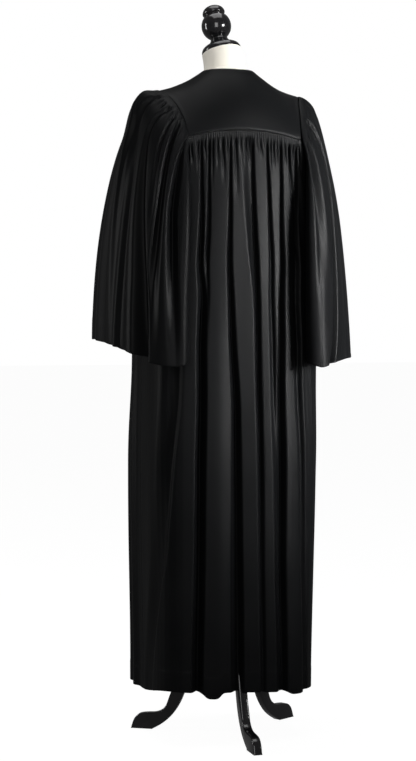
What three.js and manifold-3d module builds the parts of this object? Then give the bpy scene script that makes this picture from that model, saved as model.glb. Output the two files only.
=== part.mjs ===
// Judge robe on a limbless dress form with a turned finial and a tripod stand.
// Millimetres, +Z up, the floor at z = 0. The wearer faces -Y, and +X is the wearer's left.
import * as THREE from "three";
import { mergeVertices } from "three/addons/utils/BufferGeometryUtils.js";
import Module from "manifold-3d";

const wasm = await Module();
wasm.setup();

// Cloth
const CLOTH = 2.2;
const SEAM_GAP = 0.4;
const SEAM_DROP = 0.65;
const FLY_GAP = 0.35;
const FLY_CLOTH = 1.6;
const FLY_HALF_WIDTH = 19;
// The placket's two ends, as shares of the front panel's length
const FLY_HEAD = 0.004;
const FLY_FOOT = 0.66;

// The whole model is moved back so that its origin is under the middle of its box
const CENTRE_SHIFT_Y = -17;

// Colours
const ROBE_BLACK = 0x17171a;
const LACQUER_BLACK = 0x0d0d0f;
const FORM_CREAM = 0xf7f1e6;

// The armhole on the wearer's left, from the underarm up the back, over the shoulder and down the front.
// leave is the way the sleeve leaves the seam, reach is how far it keeps to that way,
// and apart is how far the sleeve's edge lies outside the body's edge there.
const ARMHOLE = [
  { name: "under", at: [167, 5, 1186], leave: [0.2, 0, -1], reach: 90, apart: 3.2 },
  { name: "underBack", at: [159, 66, 1202], leave: [0.2, 0.25, -0.9], reach: 90, apart: 4.2 },
  { name: "backLow", at: [142, 101, 1238], leave: [-0.02, 0.55, -0.8], reach: 88, apart: 3.6 },
  { name: "yokeEnd", at: [128, 113, 1291], leave: [0.3, 0.55, -0.75], reach: 84, apart: 2.6 },
  { name: "backHigh", at: [135, 86, 1342], leave: [0.75, 0.55, -0.32], reach: 80, apart: 0.8 },
  { name: "topBack", at: [147, 50, 1377], leave: [0.92, 0.32, -0.06], reach: 82, apart: 0 },
  { name: "top", at: [160, 12, 1395], leave: [1, 0, 0], reach: 86, apart: 0 },
  { name: "topFront", at: [152, -30, 1382], leave: [0.93, -0.3, -0.06], reach: 78, apart: 0 },
  { name: "frontHigh", at: [142, -68, 1345], leave: [0.82, -0.45, -0.3], reach: 74, apart: 0.8 },
  { name: "frontYoke", at: [135, -92, 1300], leave: [0.55, -0.4, -0.7], reach: 72, apart: 2.6 },
  { name: "frontLow", at: [145, -84, 1246], leave: [0.35, -0.3, -0.85], reach: 80, apart: 2.8 },
  { name: "underFront", at: [160, -46, 1204], leave: [0.25, -0.15, -0.9], reach: 90, apart: 3.0 },
];
const YOKE_END_STATION = 3;
const FRONT_YOKE_STATION = 9;

// Half of the yoke as spokes from the neckline to the outer edge, from the centre back over
// the shoulder to the centre front. Spokes with no edge end on the armhole's stations,
// and rise is how far a spoke bows out.
const YOKE_SPOKES = [
  { name: "centreBack", neck: [0, 56, 1443], edge: [0, 117, 1307.5], rise: 12 },
  { name: "midBack", neck: [26, 50, 1443.5], edge: [66, 116.5, 1303.5], rise: 11 },
  { name: "yokeEnd", neck: [43, 36, 1444], rise: 9 },
  { name: "backHigh", neck: [51, 22, 1444], rise: 6 },
  { name: "topBack", neck: [55, 10, 1443.5], rise: -1 },
  { name: "top", neck: [56, -2, 1443], rise: -6 },
  { name: "topFront", neck: [55, -20, 1438], rise: -4 },
  { name: "frontHigh", neck: [50, -42, 1423], rise: 2 },
  { name: "frontYoke", neck: [38, -64, 1396], rise: 6 },
  { name: "midFront", neck: [21, -84, 1364], edge: [68, -113, 1299], rise: 6 },
  { name: "centreFront", neck: [0, -101, 1334], edge: [0, -119, 1299], rise: 2 },
];
const YOKE_END_SPOKE = 2;
const SHOULDER_SPOKE = 5;
const FRONT_YOKE_SPOKE = 8;

// Level sections of the robe's body: half width, sideways shift, front and back, and how square they are
const BODY_SECTIONS = [
  { z: 1300, half: 150, shift: 0, front: -119, back: 117, square: 2.6 },
  { z: 1186, half: 166, shift: 0, front: -132, back: 117, square: 2.8 },
  { z: 1000, half: 175, shift: 3, front: -150, back: 117, square: 3.2 },
  { z: 820, half: 182, shift: 5, front: -160, back: 118, square: 3.6 },
  { z: 600, half: 185, shift: 5, front: -166, back: 120, square: 4 },
  { z: 100, half: 178, shift: 6, front: -168, back: 121, square: 4 },
];
const CHEST = BODY_SECTIONS[1];
const HEM_HEIGHT = 105;
const HEM_BACK_LIFT = 8;
const HEM_BACK_TILT = 0.05;
const FAN_OUT = 0.26;

// Gathers sewn into the seams, and the ripples that they run into lower down.
// Places are shares of the way round, depths are half a wave's height, and the cloth is
// gathered from share grow to share fade of the way down.
const BACK_GATHERS = { count: 28, from: 0.14, to: 0.86, depth: 3.2, grow: [0, 0.05], fade: [0.06, 0.2] };
const BACK_RIPPLES = { count: 14, from: 0.14, to: 0.86, depth: 5.5, grow: [0.03, 0.16], fade: [0.2, 0.6] };
const FRONT_GATHERS = { count: 12, from: 0.22, to: 0.87, depth: 3.2, grow: [0, 0.05], fade: [0.06, 0.2] };
const FRONT_RIPPLES = { count: 6, from: 0.22, to: 0.87, depth: 5, grow: [0.03, 0.16], fade: [0.2, 0.6] };
const SLEEVE_GATHERS = { count: 44, from: 0.24, to: 0.76, depth: 2.8, grow: [0, 0.08], fade: [0.1, 0.25] };
const SLEEVE_RIPPLES = { count: 14, from: 0.24, to: 0.76, depth: 4, grow: [0.05, 0.2], fade: [0.35, 0.8] };

// Folds of the back panel. Places are shares of the way round from the wearer's left side seam,
// at the seam, half way down and at the hem; width is a share too, and height is in millimetres.
const BACK_FOLDS = [
  { name: "leftCorner", top: 0.18, mid: 0.235, hem: 0.2, width: 0.06, height: 15 },
  { name: "leftMiddle", top: 0.31, mid: 0.38, hem: 0.37, width: 0.042, height: 22 },
  { name: "centreLeft", top: 0.42, mid: 0.45, hem: 0.445, width: 0.02, height: 5 },
  { name: "centre", top: 0.515, mid: 0.513, hem: 0.534, width: 0.038, height: 20 },
  { name: "centreRight", top: 0.62, mid: 0.585, hem: 0.605, width: 0.032, height: 17 },
  { name: "rightMiddle", top: 0.74, mid: 0.693, hem: 0.7, width: 0.035, height: 20 },
  { name: "rightCorner", top: 0.85, mid: 0.765, hem: 0.765, width: 0.036, height: 14 },
  { name: "rightSide", top: 0.93, mid: 0.87, hem: 0.87, width: 0.045, height: 9 },
];
const FRONT_FOLDS = [
  { name: "side", top: 0.14, mid: 0.18, hem: 0.18, width: 0.075, height: 9 },
  { name: "corner", top: 0.3, mid: 0.36, hem: 0.36, width: 0.07, height: 15 },
  { name: "outer", top: 0.44, mid: 0.51, hem: 0.51, width: 0.062, height: 19 },
  { name: "middle", top: 0.58, mid: 0.64, hem: 0.645, width: 0.058, height: 18 },
  { name: "inner", top: 0.74, mid: 0.77, hem: 0.775, width: 0.052, height: 15 },
];

// Cuff stations, one for each of the armhole's
const CUFF_LEFT = [
  { name: "under", at: [201, 15, 828] },
  { name: "underBack", at: [190, 92, 828] },
  { name: "backInner", at: [150, 150, 834] },
  { name: "back", at: [172, 190, 811] },
  { name: "backOuter", at: [224, 163, 817] },
  { name: "outerBack", at: [268, 85, 846] },
  { name: "outer", at: [293, -15, 861] },
  { name: "outerFront", at: [282, -82, 864] },
  { name: "front", at: [252, -118, 860] },
  { name: "frontInner", at: [218, -112, 850] },
  { name: "innerFront", at: [204, -76, 840] },
  { name: "underFront", at: [202, -30, 832] },
];
const CUFF_RIGHT = [
  { name: "under", at: [201, 15, 822] },
  { name: "underBack", at: [188, 88, 820] },
  { name: "backInner", at: [141, 142, 818] },
  { name: "back", at: [152, 170, 806] },
  { name: "backOuter", at: [196, 152, 817] },
  { name: "outerBack", at: [244, 98, 824] },
  { name: "outer", at: [292, -15, 825] },
  { name: "outerFront", at: [282, -82, 825] },
  { name: "front", at: [252, -118, 823] },
  { name: "frontInner", at: [218, -112, 822] },
  { name: "innerFront", at: [204, -76, 822] },
  { name: "underFront", at: [202, -30, 822] },
];
const SLEEVE_HANG_LEFT = { reach: 1.08, drop: 210 };
const SLEEVE_HANG_RIGHT = { reach: 1.08, drop: 0 };
const SLEEVE_GAP = 0.9;
const SLEEVE_FOLDS_LEFT = [
  { name: "backInner", top: 0.27, mid: 0.23, hem: 0.225, width: 0.03, height: 9 },
  { name: "back", top: 0.33, mid: 0.3, hem: 0.3, width: 0.034, height: 11 },
  { name: "valley", top: 0.385, mid: 0.375, hem: 0.375, width: 0.034, height: -17 },
  { name: "outerBack", top: 0.42, mid: 0.425, hem: 0.43, width: 0.028, height: 10 },
  { name: "outer", top: 0.48, mid: 0.5, hem: 0.505, width: 0.034, height: 8 },
  { name: "outerFront", top: 0.55, mid: 0.575, hem: 0.58, width: 0.036, height: 9 },
  { name: "front", top: 0.63, mid: 0.66, hem: 0.665, width: 0.036, height: 10 },
  { name: "frontInner", top: 0.71, mid: 0.75, hem: 0.755, width: 0.034, height: 8 },
];
const SLEEVE_FOLDS_RIGHT = [
  { name: "backInner", top: 0.27, mid: 0.235, hem: 0.23, width: 0.03, height: 7 },
  { name: "back", top: 0.34, mid: 0.31, hem: 0.31, width: 0.045, height: 9 },
  { name: "valley", top: 0.4, mid: 0.395, hem: 0.39, width: 0.03, height: -8 },
  { name: "outerBack", top: 0.45, mid: 0.455, hem: 0.455, width: 0.04, height: 9 },
  { name: "outer", top: 0.53, mid: 0.54, hem: 0.54, width: 0.034, height: 8 },
  { name: "front", top: 0.62, mid: 0.63, hem: 0.635, width: 0.036, height: 10 },
  { name: "frontInner", top: 0.7, mid: 0.73, hem: 0.735, width: 0.034, height: 8 },
];

// Dress form: level sections below the shoulders
const FORM_SECTIONS = [
  { z: 1262, half: 136, shift: 0, front: -106, back: 96, square: 2.5 },
  { z: 1205, half: 142, shift: 0, front: -116, back: 96, square: 2.4 },
  { z: 1130, half: 134, shift: 0, front: -108, back: 84, square: 2.3 },
  { z: 1050, half: 120, shift: 0, front: -92, back: 74, square: 2.2 },
  { z: 960, half: 138, shift: 0, front: -102, back: 90, square: 2.3 },
  { z: 870, half: 154, shift: 0, front: -112, back: 98, square: 2.4 },
  { z: 800, half: 152, shift: 0, front: -108, back: 94, square: 2.4 },
  { z: 786, half: 146, shift: 0, front: -103, back: 89, square: 2.4 },
];
const FORM_CLEARANCE = 2.4;
const NECK_RINGS = [
  { z: 1490.5, y: -27, x: 3, radius: 42.5, leanX: 0.12, leanY: -0.26 },
  { z: 1468, y: -20, x: 1, radius: 43.5, leanX: 0.06, leanY: -0.26 },
  { z: 1441, y: -13, x: 0, radius: 46, leanX: 0, leanY: -0.26 },
];

// Stand
const LEG_COUNT = 3;
const LEG_THICK = 19;
const LEG_TURN = (-2.4 * Math.PI) / 180;
const HUB_RADIUS = 25;
const HUB_LOW = 200;
const HUB_HIGH = 292;
const POST_RADIUS = 14;
const BASE_THICK = 12;
const FIT = 0.3;
const TURNED_SIDES = 24;

const smooth = (a, b, x) => {
  const k = Math.min(1, Math.max(0, (x - a) / (b - a)));
  return k * k * (3 - 2 * k);
};
const mix = (a, b, k) => a + (b - a) * k;
const mixPoint = (a, b, k) => a.map((v, i) => mix(v, b[i], k));

// A point on the smooth curve through the stations, at station number s
function through(points, s, closed) {
  const n = points.length;
  const last = closed ? n : n - 1;
  const i = Math.min(Math.floor(s), last - 1);
  const f = s - i;
  const pick = (k) => (closed ? points[(k + n) % n] : points[Math.min(n - 1, Math.max(0, k))]);
  const [a, b, c, d] = [pick(i - 1), pick(i), pick(i + 1), pick(i + 2)];
  return b.map((v, k) => {
    const m0 = (c[k] - a[k]) / 2;
    const m1 = (d[k] - b[k]) / 2;
    const f2 = f * f;
    const f3 = f2 * f;
    return (2 * f3 - 3 * f2 + 1) * v + (f3 - 2 * f2 + f) * m0 + (3 * f2 - 2 * f3) * c[k] + (f3 - f2) * m1;
  });
}

// A level section at height z, between the rows of a table that runs downwards
function sectionAt(table, z) {
  const keys = ["half", "shift", "front", "back", "square"];
  const last = table.length - 1;
  let i = 0;
  while (i < last - 1 && z < table[i + 1].z) {
    i += 1;
  }
  const k = smooth(0, 1, (table[i].z - z) / (table[i].z - table[i + 1].z));
  return Object.fromEntries(keys.map((key) => [key, mix(table[i][key], table[i + 1][key], k)]));
}

// Round the section by angle: 0 is the wearer's left, a quarter turn is the back
function sectionPoint({ half, shift, front, back, square }, angle) {
  const c = Math.cos(angle);
  const s = Math.sin(angle);
  const deep = (back - front) / 2;
  const r = (Math.abs(c / half) ** square + Math.abs(s / deep) ** square) ** (-1 / square);
  return [shift + r * c, (back + front) / 2 + r * s];
}

// The way out of the section at a point on it
function sectionNormal({ half, shift, front, back, square }, x, y) {
  const deep = (back - front) / 2;
  const dx = x - shift;
  const dy = y - (back + front) / 2;
  const nx = (Math.sign(dx) * Math.abs(dx / half) ** (square - 1)) / half;
  const ny = (Math.sign(dy) * Math.abs(dy / deep) ** (square - 1)) / deep;
  const size = Math.hypot(nx, ny);
  return [nx / size, ny / size];
}

// The same section by its share of the length between two angles
const LENGTH_STEPS = 48;
function sectionShare(section, from, to, share) {
  const points = [];
  const lengths = [0];
  for (let i = 0; i <= LENGTH_STEPS; i += 1) {
    points.push(sectionPoint(section, mix(from, to, i / LENGTH_STEPS)));
    if (i > 0) {
      const [a, b] = [points[i - 1], points[i]];
      lengths.push(lengths[i - 1] + Math.hypot(b[0] - a[0], b[1] - a[1]));
    }
  }
  const goal = share * lengths[LENGTH_STEPS];
  let i = 1;
  while (i < LENGTH_STEPS && lengths[i] < goal) {
    i += 1;
  }
  return mixPoint(points[i - 1], points[i], (goal - lengths[i - 1]) / (lengths[i] - lengths[i - 1]));
}

// Folds and gathers
const foldPlace = (fold, t) =>
  t < 0.5 ? mix(fold.top, fold.mid, smooth(0, 0.5, t)) : mix(fold.mid, fold.hem, smooth(0.5, 1, t));

function foldHeight(folds, u, t) {
  const grow = mix(0.12, 1, smooth(0.04, 0.55, t));
  let sum = 0;
  for (const fold of folds) {
    const k = Math.abs(u - foldPlace(fold, t)) / fold.width;
    sum += k < 1 ? (fold.height * (1 + Math.cos(Math.PI * k))) / 2 : 0;
  }
  return sum * grow;
}

function waveHeight(waves, u, t) {
  const k = (u - waves.from) / (waves.to - waves.from);
  if (k <= 0 || k >= 1) {
    return 0;
  }
  const depth = waves.depth * smooth(...waves.grow, t) * (1 - smooth(...waves.fade, t));
  return -depth * Math.cos(2 * Math.PI * waves.count * k) * smooth(0, 0.03, k) * smooth(0, 0.03, 1 - k);
}

// Columns: so many to each wave between its ends, and even ones outside
function waveColumns(waves, each, spread) {
  const columns = [];
  const outside = Math.max(2, Math.round(waves.from * spread));
  for (let i = 0; i < outside; i += 1) {
    columns.push((waves.from * i) / outside);
  }
  const inside = waves.count * each;
  for (let i = 0; i <= inside; i += 1) {
    columns.push(mix(waves.from, waves.to, i / inside));
  }
  const after = Math.max(2, Math.round((1 - waves.to) * spread));
  for (let i = 1; i <= after; i += 1) {
    columns.push(mix(waves.to, 1, i / after));
  }
  return columns;
}

const evenColumns = (count) => Array.from({ length: count + 1 }, (_, i) => i / count);

const vector = (p) => new THREE.Vector3(...p);

// The share over which a surface's slope is measured
const SLOPE_STEP = 0.002;

function normalOf(surface, u, t, around) {
  const h = SLOPE_STEP;
  const low = (x) => (around ? x - h : Math.max(0, x - h));
  const high = (x) => (around ? x + h : Math.min(1, x + h));
  const du = vector(surface(high(u), t)).sub(vector(surface(low(u), t)));
  const dt = vector(surface(u, Math.min(1, t + h))).sub(vector(surface(u, Math.max(0, t - h))));
  return du.cross(dt).normalize();
}

// A cloth wall over a surface. rows lists { t, columns }, height gives the folds,
// and flip is -1 where the surface's own normal points inwards.
function clothWall(surface, rows, options = {}) {
  const { height = () => 0, flip = 1, closed = false, lift = 0, cloth = CLOTH, side = 0 } = options;
  const outer = [];
  const inner = [];
  const keep = (p) => {
    const centre = sectionAt(BODY_SECTIONS, Math.min(p.z, BODY_SECTIONS[0].z)).shift;
    if (side * (p.x - centre) < SEAM_GAP / 2 && side !== 0) {
      p.x = centre + (side * SEAM_GAP) / 2;
    }
    return p;
  };
  for (const { t, columns } of rows) {
    const used = closed ? columns.slice(0, -1) : columns;
    const line = used.map((u) => {
      const n = normalOf(surface, u, t, closed).multiplyScalar(flip);
      const middle = vector(surface(u, t)).addScaledVector(n, height(u, t) + lift);
      return [cloth / 2, -cloth / 2].map((h) => keep(middle.clone().addScaledVector(n, h)));
    });
    outer.push(line.map((pair) => pair[0]));
    inner.push(line.map((pair) => pair[1]));
  }
  const faces = [];
  const face = (a, b, c) => faces.push(a, b, c);
  const pick = (line, i) => line[i % line.length];
  for (let r = 0; r + 1 < rows.length; r += 1) {
    const a = rows[r].columns;
    const b = rows[r + 1].columns;
    let i = 0;
    let j = 0;
    while (i < a.length - 1 || j < b.length - 1) {
      const stepUpper = j === b.length - 1 || (i < a.length - 1 && a[i + 1] <= b[j + 1] + 1e-9);
      const [p, q] = stepUpper ? [[r, i + 1], [r, i]] : [[r + 1, j + 1], [r, i]];
      const s = [r + 1, j];
      face(pick(outer[p[0]], p[1]), pick(outer[q[0]], q[1]), pick(outer[s[0]], s[1]));
      face(pick(inner[p[0]], p[1]), pick(inner[s[0]], s[1]), pick(inner[q[0]], q[1]));
      i += stepUpper ? 1 : 0;
      j += stepUpper ? 0 : 1;
    }
  }
  const rim = (line, under, way) => {
    const count = closed ? line.length : line.length - 1;
    for (let i = 0; i < count; i += 1) {
      const [a, b] = [pick(line, i), pick(line, i + 1)];
      const [c, d] = [pick(under, i), pick(under, i + 1)];
      if (way > 0) {
        face(a, b, c);
        face(b, d, c);
      } else {
        face(a, c, b);
        face(b, c, d);
      }
    }
  };
  rim(outer[0], inner[0], 1);
  rim(outer.at(-1), inner.at(-1), -1);
  if (!closed) {
    rim(outer.map((line) => line[0]), inner.map((line) => line[0]), -1);
    rim(outer.map((line) => line.at(-1)), inner.map((line) => line.at(-1)), 1);
  }
  return solid(faces);
}

// A closed geometry from loose triangles, turned so that its faces point out
const WELD = 1e-4;
const EMPTY_AREA = 1e-6;

function solid(faces) {
  let volume = 0;
  for (let i = 0; i < faces.length; i += 3) {
    volume += faces[i].dot(faces[i + 1].clone().cross(faces[i + 2]));
  }
  const positions = [];
  for (let i = 0; i < faces.length; i += 3) {
    const [a, b, c] = volume > 0 ? [0, 1, 2] : [0, 2, 1];
    positions.push(...faces[i + a], ...faces[i + b], ...faces[i + c]);
  }
  const geometry = new THREE.BufferGeometry();
  geometry.setAttribute("position", new THREE.Float32BufferAttribute(positions, 3));
  const merged = mergeVertices(geometry, WELD);
  merged.computeVertexNormals();
  return merged;
}

// A solid through closed rings of the same number of points, capped at both ends
function loft(rings) {
  const faces = [];
  const count = rings[0].length;
  const centre = (ring) =>
    ring.reduce((sum, p) => sum.add(p), new THREE.Vector3()).multiplyScalar(1 / ring.length);
  rings.slice(1).forEach((ring, k) => {
    const above = rings[k];
    for (let i = 0; i < count; i += 1) {
      const j = (i + 1) % count;
      faces.push(above[i], above[j], ring[i], above[j], ring[j], ring[i]);
    }
  });
  const [head, foot] = [rings[0], rings.at(-1)];
  for (let i = 0; i < count; i += 1) {
    const j = (i + 1) % count;
    faces.push(centre(head), head[j], head[i], centre(foot), foot[i], foot[j]);
  }
  return solid(faces);
}

// Yoke
const mirrored = ([x, y, z]) => [-x, y, z];
const ARMHOLE_LINE = ARMHOLE.map((row) => row.at);
const NECKLINE = YOKE_SPOKES.map((spoke) => spoke.neck);
const YOKE_RISE = YOKE_SPOKES.map((spoke) => [spoke.rise]);
const [CENTRE_BACK, MID_BACK] = YOKE_SPOKES.slice(0, 2).map((spoke) => spoke.edge);
const [MID_FRONT, CENTRE_FRONT] = YOKE_SPOKES.slice(-2).map((spoke) => spoke.edge);
const BACK_SEAM = [mirrored(MID_BACK), CENTRE_BACK, MID_BACK, ARMHOLE_LINE[YOKE_END_STATION]];
const FRONT_SEAM = [ARMHOLE_LINE[FRONT_YOKE_STATION], MID_FRONT, CENTRE_FRONT, mirrored(MID_FRONT)];

// The yoke's outer edge by spoke number: back seam, armhole, front seam
function yokeEdge(k) {
  if (k < YOKE_END_SPOKE) {
    return through(BACK_SEAM, k + 1);
  }
  if (k < FRONT_YOKE_SPOKE) {
    return through(ARMHOLE_LINE, k - YOKE_END_SPOKE + YOKE_END_STATION, true);
  }
  return through(FRONT_SEAM, k - FRONT_YOKE_SPOKE);
}

// s is the spoke number, negative on the wearer's right; v runs from the neckline to the edge
function yokePoint(s, v, inset = 0) {
  const side = s < 0 ? -1 : 1;
  const k = Math.abs(s);
  const neck = through(NECKLINE, k);
  const edge = yokeEdge(k);
  const [rise] = through(YOKE_RISE, k);
  const [x, y, z] = mixPoint(neck, edge, v);
  const across = Math.hypot(edge[0] - neck[0], edge[1] - neck[1]);
  const slope = Math.atan2(neck[2] - edge[2], across);
  const bow = rise * 4 * v * (1 - v) - inset;
  const level = (bow * Math.sin(slope)) / across;
  const out = [x + (edge[0] - neck[0]) * level, y + (edge[1] - neck[1]) * level];
  return [side * out[0], out[1], z + bow * Math.cos(slope)];
}

const YOKE_ROWS = 5;
const SPOKE_LENGTH = 40;

// seamColumns are the spoke numbers of the columns of the panel sewn to the outer edge
function yokePiece(from, to, columnCount, seamColumns, side) {
  const inset = SEAM_GAP / 2 / ((to - from) * SPOKE_LENGTH);
  const place = (u) => mix(from, to, mix(inset, 1 - inset, u));
  const surface = (u, t) => yokePoint(place(u), t);
  const even = evenColumns(columnCount);
  const seam = seamColumns.map((k) => (k - from) / (to - from)).filter((u) => u > 0.001 && u < 0.999);
  const [low, high] = [Math.min(...seam), Math.max(...seam)];
  const beside = even.filter((u) => u < low - 0.01 || u > high + 0.01);
  const edge = [...beside, ...seam].sort((a, b) => a - b);
  const rows = evenColumns(YOKE_ROWS).map((t) => ({ t, columns: t < 1 ? even : edge }));
  return clothWall(surface, rows, { side });
}

// Body panels: the top edge runs up the armhole and along the yoke seam
const BACK_ARMHOLE_SHARE = 0.13;
const FRONT_ARMHOLE_SHARE = 0.2;
const STATIONS = ARMHOLE.length;

// The spoke number where a share of the panel's width meets the yoke
const backSpoke = (u) => ((0.5 - u) / (0.5 - BACK_ARMHOLE_SHARE)) * YOKE_END_SPOKE;
const frontSpoke = (u) =>
  mix(FRONT_YOKE_SPOKE, YOKE_SPOKES.length - 1, (u - FRONT_ARMHOLE_SHARE) / (1 - FRONT_ARMHOLE_SHARE));

function backTop(u) {
  const side = u > 0.5 ? -1 : 1;
  const k = u > 0.5 ? 1 - u : u;
  const [x, y, z] =
    k < BACK_ARMHOLE_SHARE
      ? through(ARMHOLE_LINE, (k / BACK_ARMHOLE_SHARE) * YOKE_END_STATION, true)
      : yokeEdge(backSpoke(k));
  return [side * x, y, z - SEAM_DROP];
}

function frontTop(u) {
  const down = mix(STATIONS, FRONT_YOKE_STATION, u / FRONT_ARMHOLE_SHARE) % STATIONS;
  const [x, y, z] =
    u < FRONT_ARMHOLE_SHARE ? through(ARMHOLE_LINE, down, true) : yokeEdge(frontSpoke(u));
  return [x, y, z - SEAM_DROP];
}

// The back hem lies higher than the front, between these two depths
const [HEM_RISE_START, HEM_RISE_END] = [-20, 110];
const hemHeight = (x, y) =>
  HEM_HEIGHT + (HEM_BACK_LIFT + HEM_BACK_TILT * x) * smooth(HEM_RISE_START, HEM_RISE_END, y);

function bodySurface(top, from, to, inset, side = 1) {
  const hem = sectionAt(BODY_SECTIONS, HEM_HEIGHT);
  return (u, t) => {
    const v = mix(inset, 1 - inset, u);
    const [x, y, z] = top(v);
    const foot = sectionShare(side > 0 ? hem : turnedOver(hem), from, to, v);
    const level = mix(z, hemHeight(side * foot[0], foot[1]), t);
    const section = sectionAt(BODY_SECTIONS, level);
    const [sx, sy] = sectionShare(side > 0 ? section : turnedOver(section), from, to, v);
    const k = smooth(0, FAN_OUT, t);
    return [side * mix(x, sx, k), mix(y, sy, k), level];
  };
}

const turnedOver = (section) => ({ ...section, shift: -section.shift });
const BACK_INSET = 0.0004;
const FRONT_INSET = 0.0007;
const backSurface = bodySurface(backTop, 0, Math.PI, BACK_INSET);
const frontSurface = (side) => bodySurface(frontTop, 0, -Math.PI / 2, FRONT_INSET, side);
const sideFade = (u) => smooth(0, 0.06, u) * smooth(0, 0.06, 1 - u);
const frontFade = (u) => smooth(0, 0.06, u) * smooth(0.13, 0.21, 1 - u);
const allHeights = (gathers, ripples, folds, u, t) =>
  waveHeight(gathers, u, t) + waveHeight(ripples, u, t) + foldHeight(folds, u, t);
const backHeight = (u, t) => allHeights(BACK_GATHERS, BACK_RIPPLES, BACK_FOLDS, u, t) * sideFade(u);
const frontHeight = (u, t) => allHeights(FRONT_GATHERS, FRONT_RIPPLES, FRONT_FOLDS, u, t) * frontFade(u);

// Rows by their place down the hang
const BODY_ROWS = [0, 0.017, 0.05, 0.1, 0.16, 0.24, 0.36, 0.52, 0.68, 0.84, 1];
const SLEEVE_FINE_ROWS = [0, 0.05, 0.11, 0.18];
const SLEEVE_ROWS = [0.29, 0.47, 0.72, 1];
// Columns to a whole width outside the gathers
const [BACK_SPREAD, FRONT_SPREAD, SLEEVE_SPREAD] = [40, 26, 34];
const GATHER_STEPS = 2;
const RIPPLE_STEPS = 4;
const BACK_COLUMNS = waveColumns(BACK_GATHERS, GATHER_STEPS, BACK_SPREAD);
const FRONT_COLUMNS = waveColumns(FRONT_GATHERS, GATHER_STEPS, FRONT_SPREAD);
const rowsOf = (places, columns) => places.map((t) => ({ t, columns }));

const backPanel = () =>
  clothWall(backSurface, rowsOf(BODY_ROWS, BACK_COLUMNS), { height: backHeight, flip: -1 });
const frontPanel = (side) =>
  clothWall(frontSurface(side), rowsOf(BODY_ROWS, FRONT_COLUMNS), { height: frontHeight, flip: side, side });

// The strip over the centre front lies on both front panels. The share over which
// the panels' width is measured, and the strip's columns
const FLY_SAMPLE = 0.1;
const FLY_COLUMNS = 4;

function placket() {
  const [left, right] = [frontSurface(1), frontSurface(-1)];
  const sample = FLY_SAMPLE;
  const surface = (u, t) => {
    const across = 2 * u - 1;
    const k = mix(FLY_HEAD, FLY_FOOT, t);
    const width = vector(left(1, k)).distanceTo(vector(left(1 - sample, k))) / sample;
    const v = 1 - (Math.abs(across) * FLY_HALF_WIDTH) / width;
    return across < 0 ? right(v, k) : left(v, k);
  };
  const lift = CLOTH / 2 + FLY_GAP + FLY_CLOTH / 2;
  const ends = [FLY_HEAD, FLY_FOOT];
  const between = BODY_ROWS.filter((t) => t > FLY_HEAD && t < FLY_FOOT);
  const rows = [ends[0], ...between, ends[1]].map((t) => (t - ends[0]) / (ends[1] - ends[0]));
  return clothWall(surface, rowsOf(rows, evenColumns(FLY_COLUMNS)), { flip: -1, lift, cloth: FLY_CLOTH });
}

// Sleeves
function sleeveSurface(cuff, hang, side) {
  const turns = ARMHOLE.map((row) => vector(row.leave).normalize().toArray());
  const heads = ARMHOLE.map((row, i) => {
    const [x, y, z] = row.at;
    const [nx, ny] = sectionNormal(CHEST, x, y);
    const start = [x + nx * row.apart, y + ny * row.apart, z];
    return start.map((v, k) => v + turns[i][k] * SLEEVE_GAP);
  });
  const reaches = ARMHOLE.map((row) => [row.reach * hang.reach]);
  const feet = cuff.map((row) => row.at);
  return (u, t) => {
    const s = (((u % 1) + 1) % 1) * STATIONS;
    const head = through(heads, s, true);
    const turn = through(turns, s, true);
    const [reach] = through(reaches, s, true);
    const foot = through(feet, s, true);
    const [a, b, c, d] = [(1 - t) ** 3, 3 * t * (1 - t) ** 2, 3 * t * t * (1 - t), t ** 3];
    const [x, y, z] = head.map((v, i) => (a + b) * v + b * turn[i] * reach + (c + d) * foot[i]);
    return [side * x, y, z + c * hang.drop];
  };
}

function sleeve(cuff, hang, folds, side) {
  const height = (u, t) => allHeights(SLEEVE_GATHERS, SLEEVE_RIPPLES, folds, u, t);
  const fine = rowsOf(SLEEVE_FINE_ROWS, waveColumns(SLEEVE_GATHERS, GATHER_STEPS, SLEEVE_SPREAD));
  const coarse = rowsOf(SLEEVE_ROWS, waveColumns(SLEEVE_RIPPLES, RIPPLE_STEPS, SLEEVE_SPREAD));
  return clothWall(sleeveSurface(cuff, hang, side), [...fine, ...coarse], { height, flip: -side, closed: true });
}

// Dress form
const FORM_POINTS = 48;
const SHOULDER_SHARES = [0, 0.2, 0.4, 0.6, 0.8, 0.95];

function formRings() {
  const last = YOKE_SPOKES.length - 1;
  const spokeAt = (angle) => (angle <= Math.PI ? angle : angle - 2 * Math.PI) * (last / Math.PI);
  const angles = Array.from({ length: FORM_POINTS }, (_, i) => (i * 2 * Math.PI) / FORM_POINTS);
  const neck = NECK_RINGS.map((row) =>
    angles.map((angle) => {
      const dx = row.radius * Math.sin(angle);
      const dy = row.radius * Math.cos(angle);
      return vector([row.x + dx, row.y + dy, row.z - row.leanX * dx - row.leanY * dy]);
    }),
  );
  const inset = CLOTH / 2 + FORM_CLEARANCE;
  const shoulders = SHOULDER_SHARES.map((v) =>
    angles.map((angle) => vector(yokePoint(spokeAt(angle), v, inset))),
  );
  const trunk = FORM_SECTIONS.map((row) =>
    angles.map((angle) => vector([...sectionPoint(row, Math.PI / 2 - angle), row.z])),
  );
  return [...neck, ...shoulders, ...trunk];
}

const turned = (profile, sides) => {
  const points = profile.map(([r, z]) => new THREE.Vector2(r, z));
  const geometry = new THREE.LatheGeometry(points, sides);
  geometry.rotateX(Math.PI / 2);
  geometry.deleteAttribute("normal");
  geometry.deleteAttribute("uv");
  return solid(loose(mergeVertices(geometry, WELD)));
};

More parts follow.
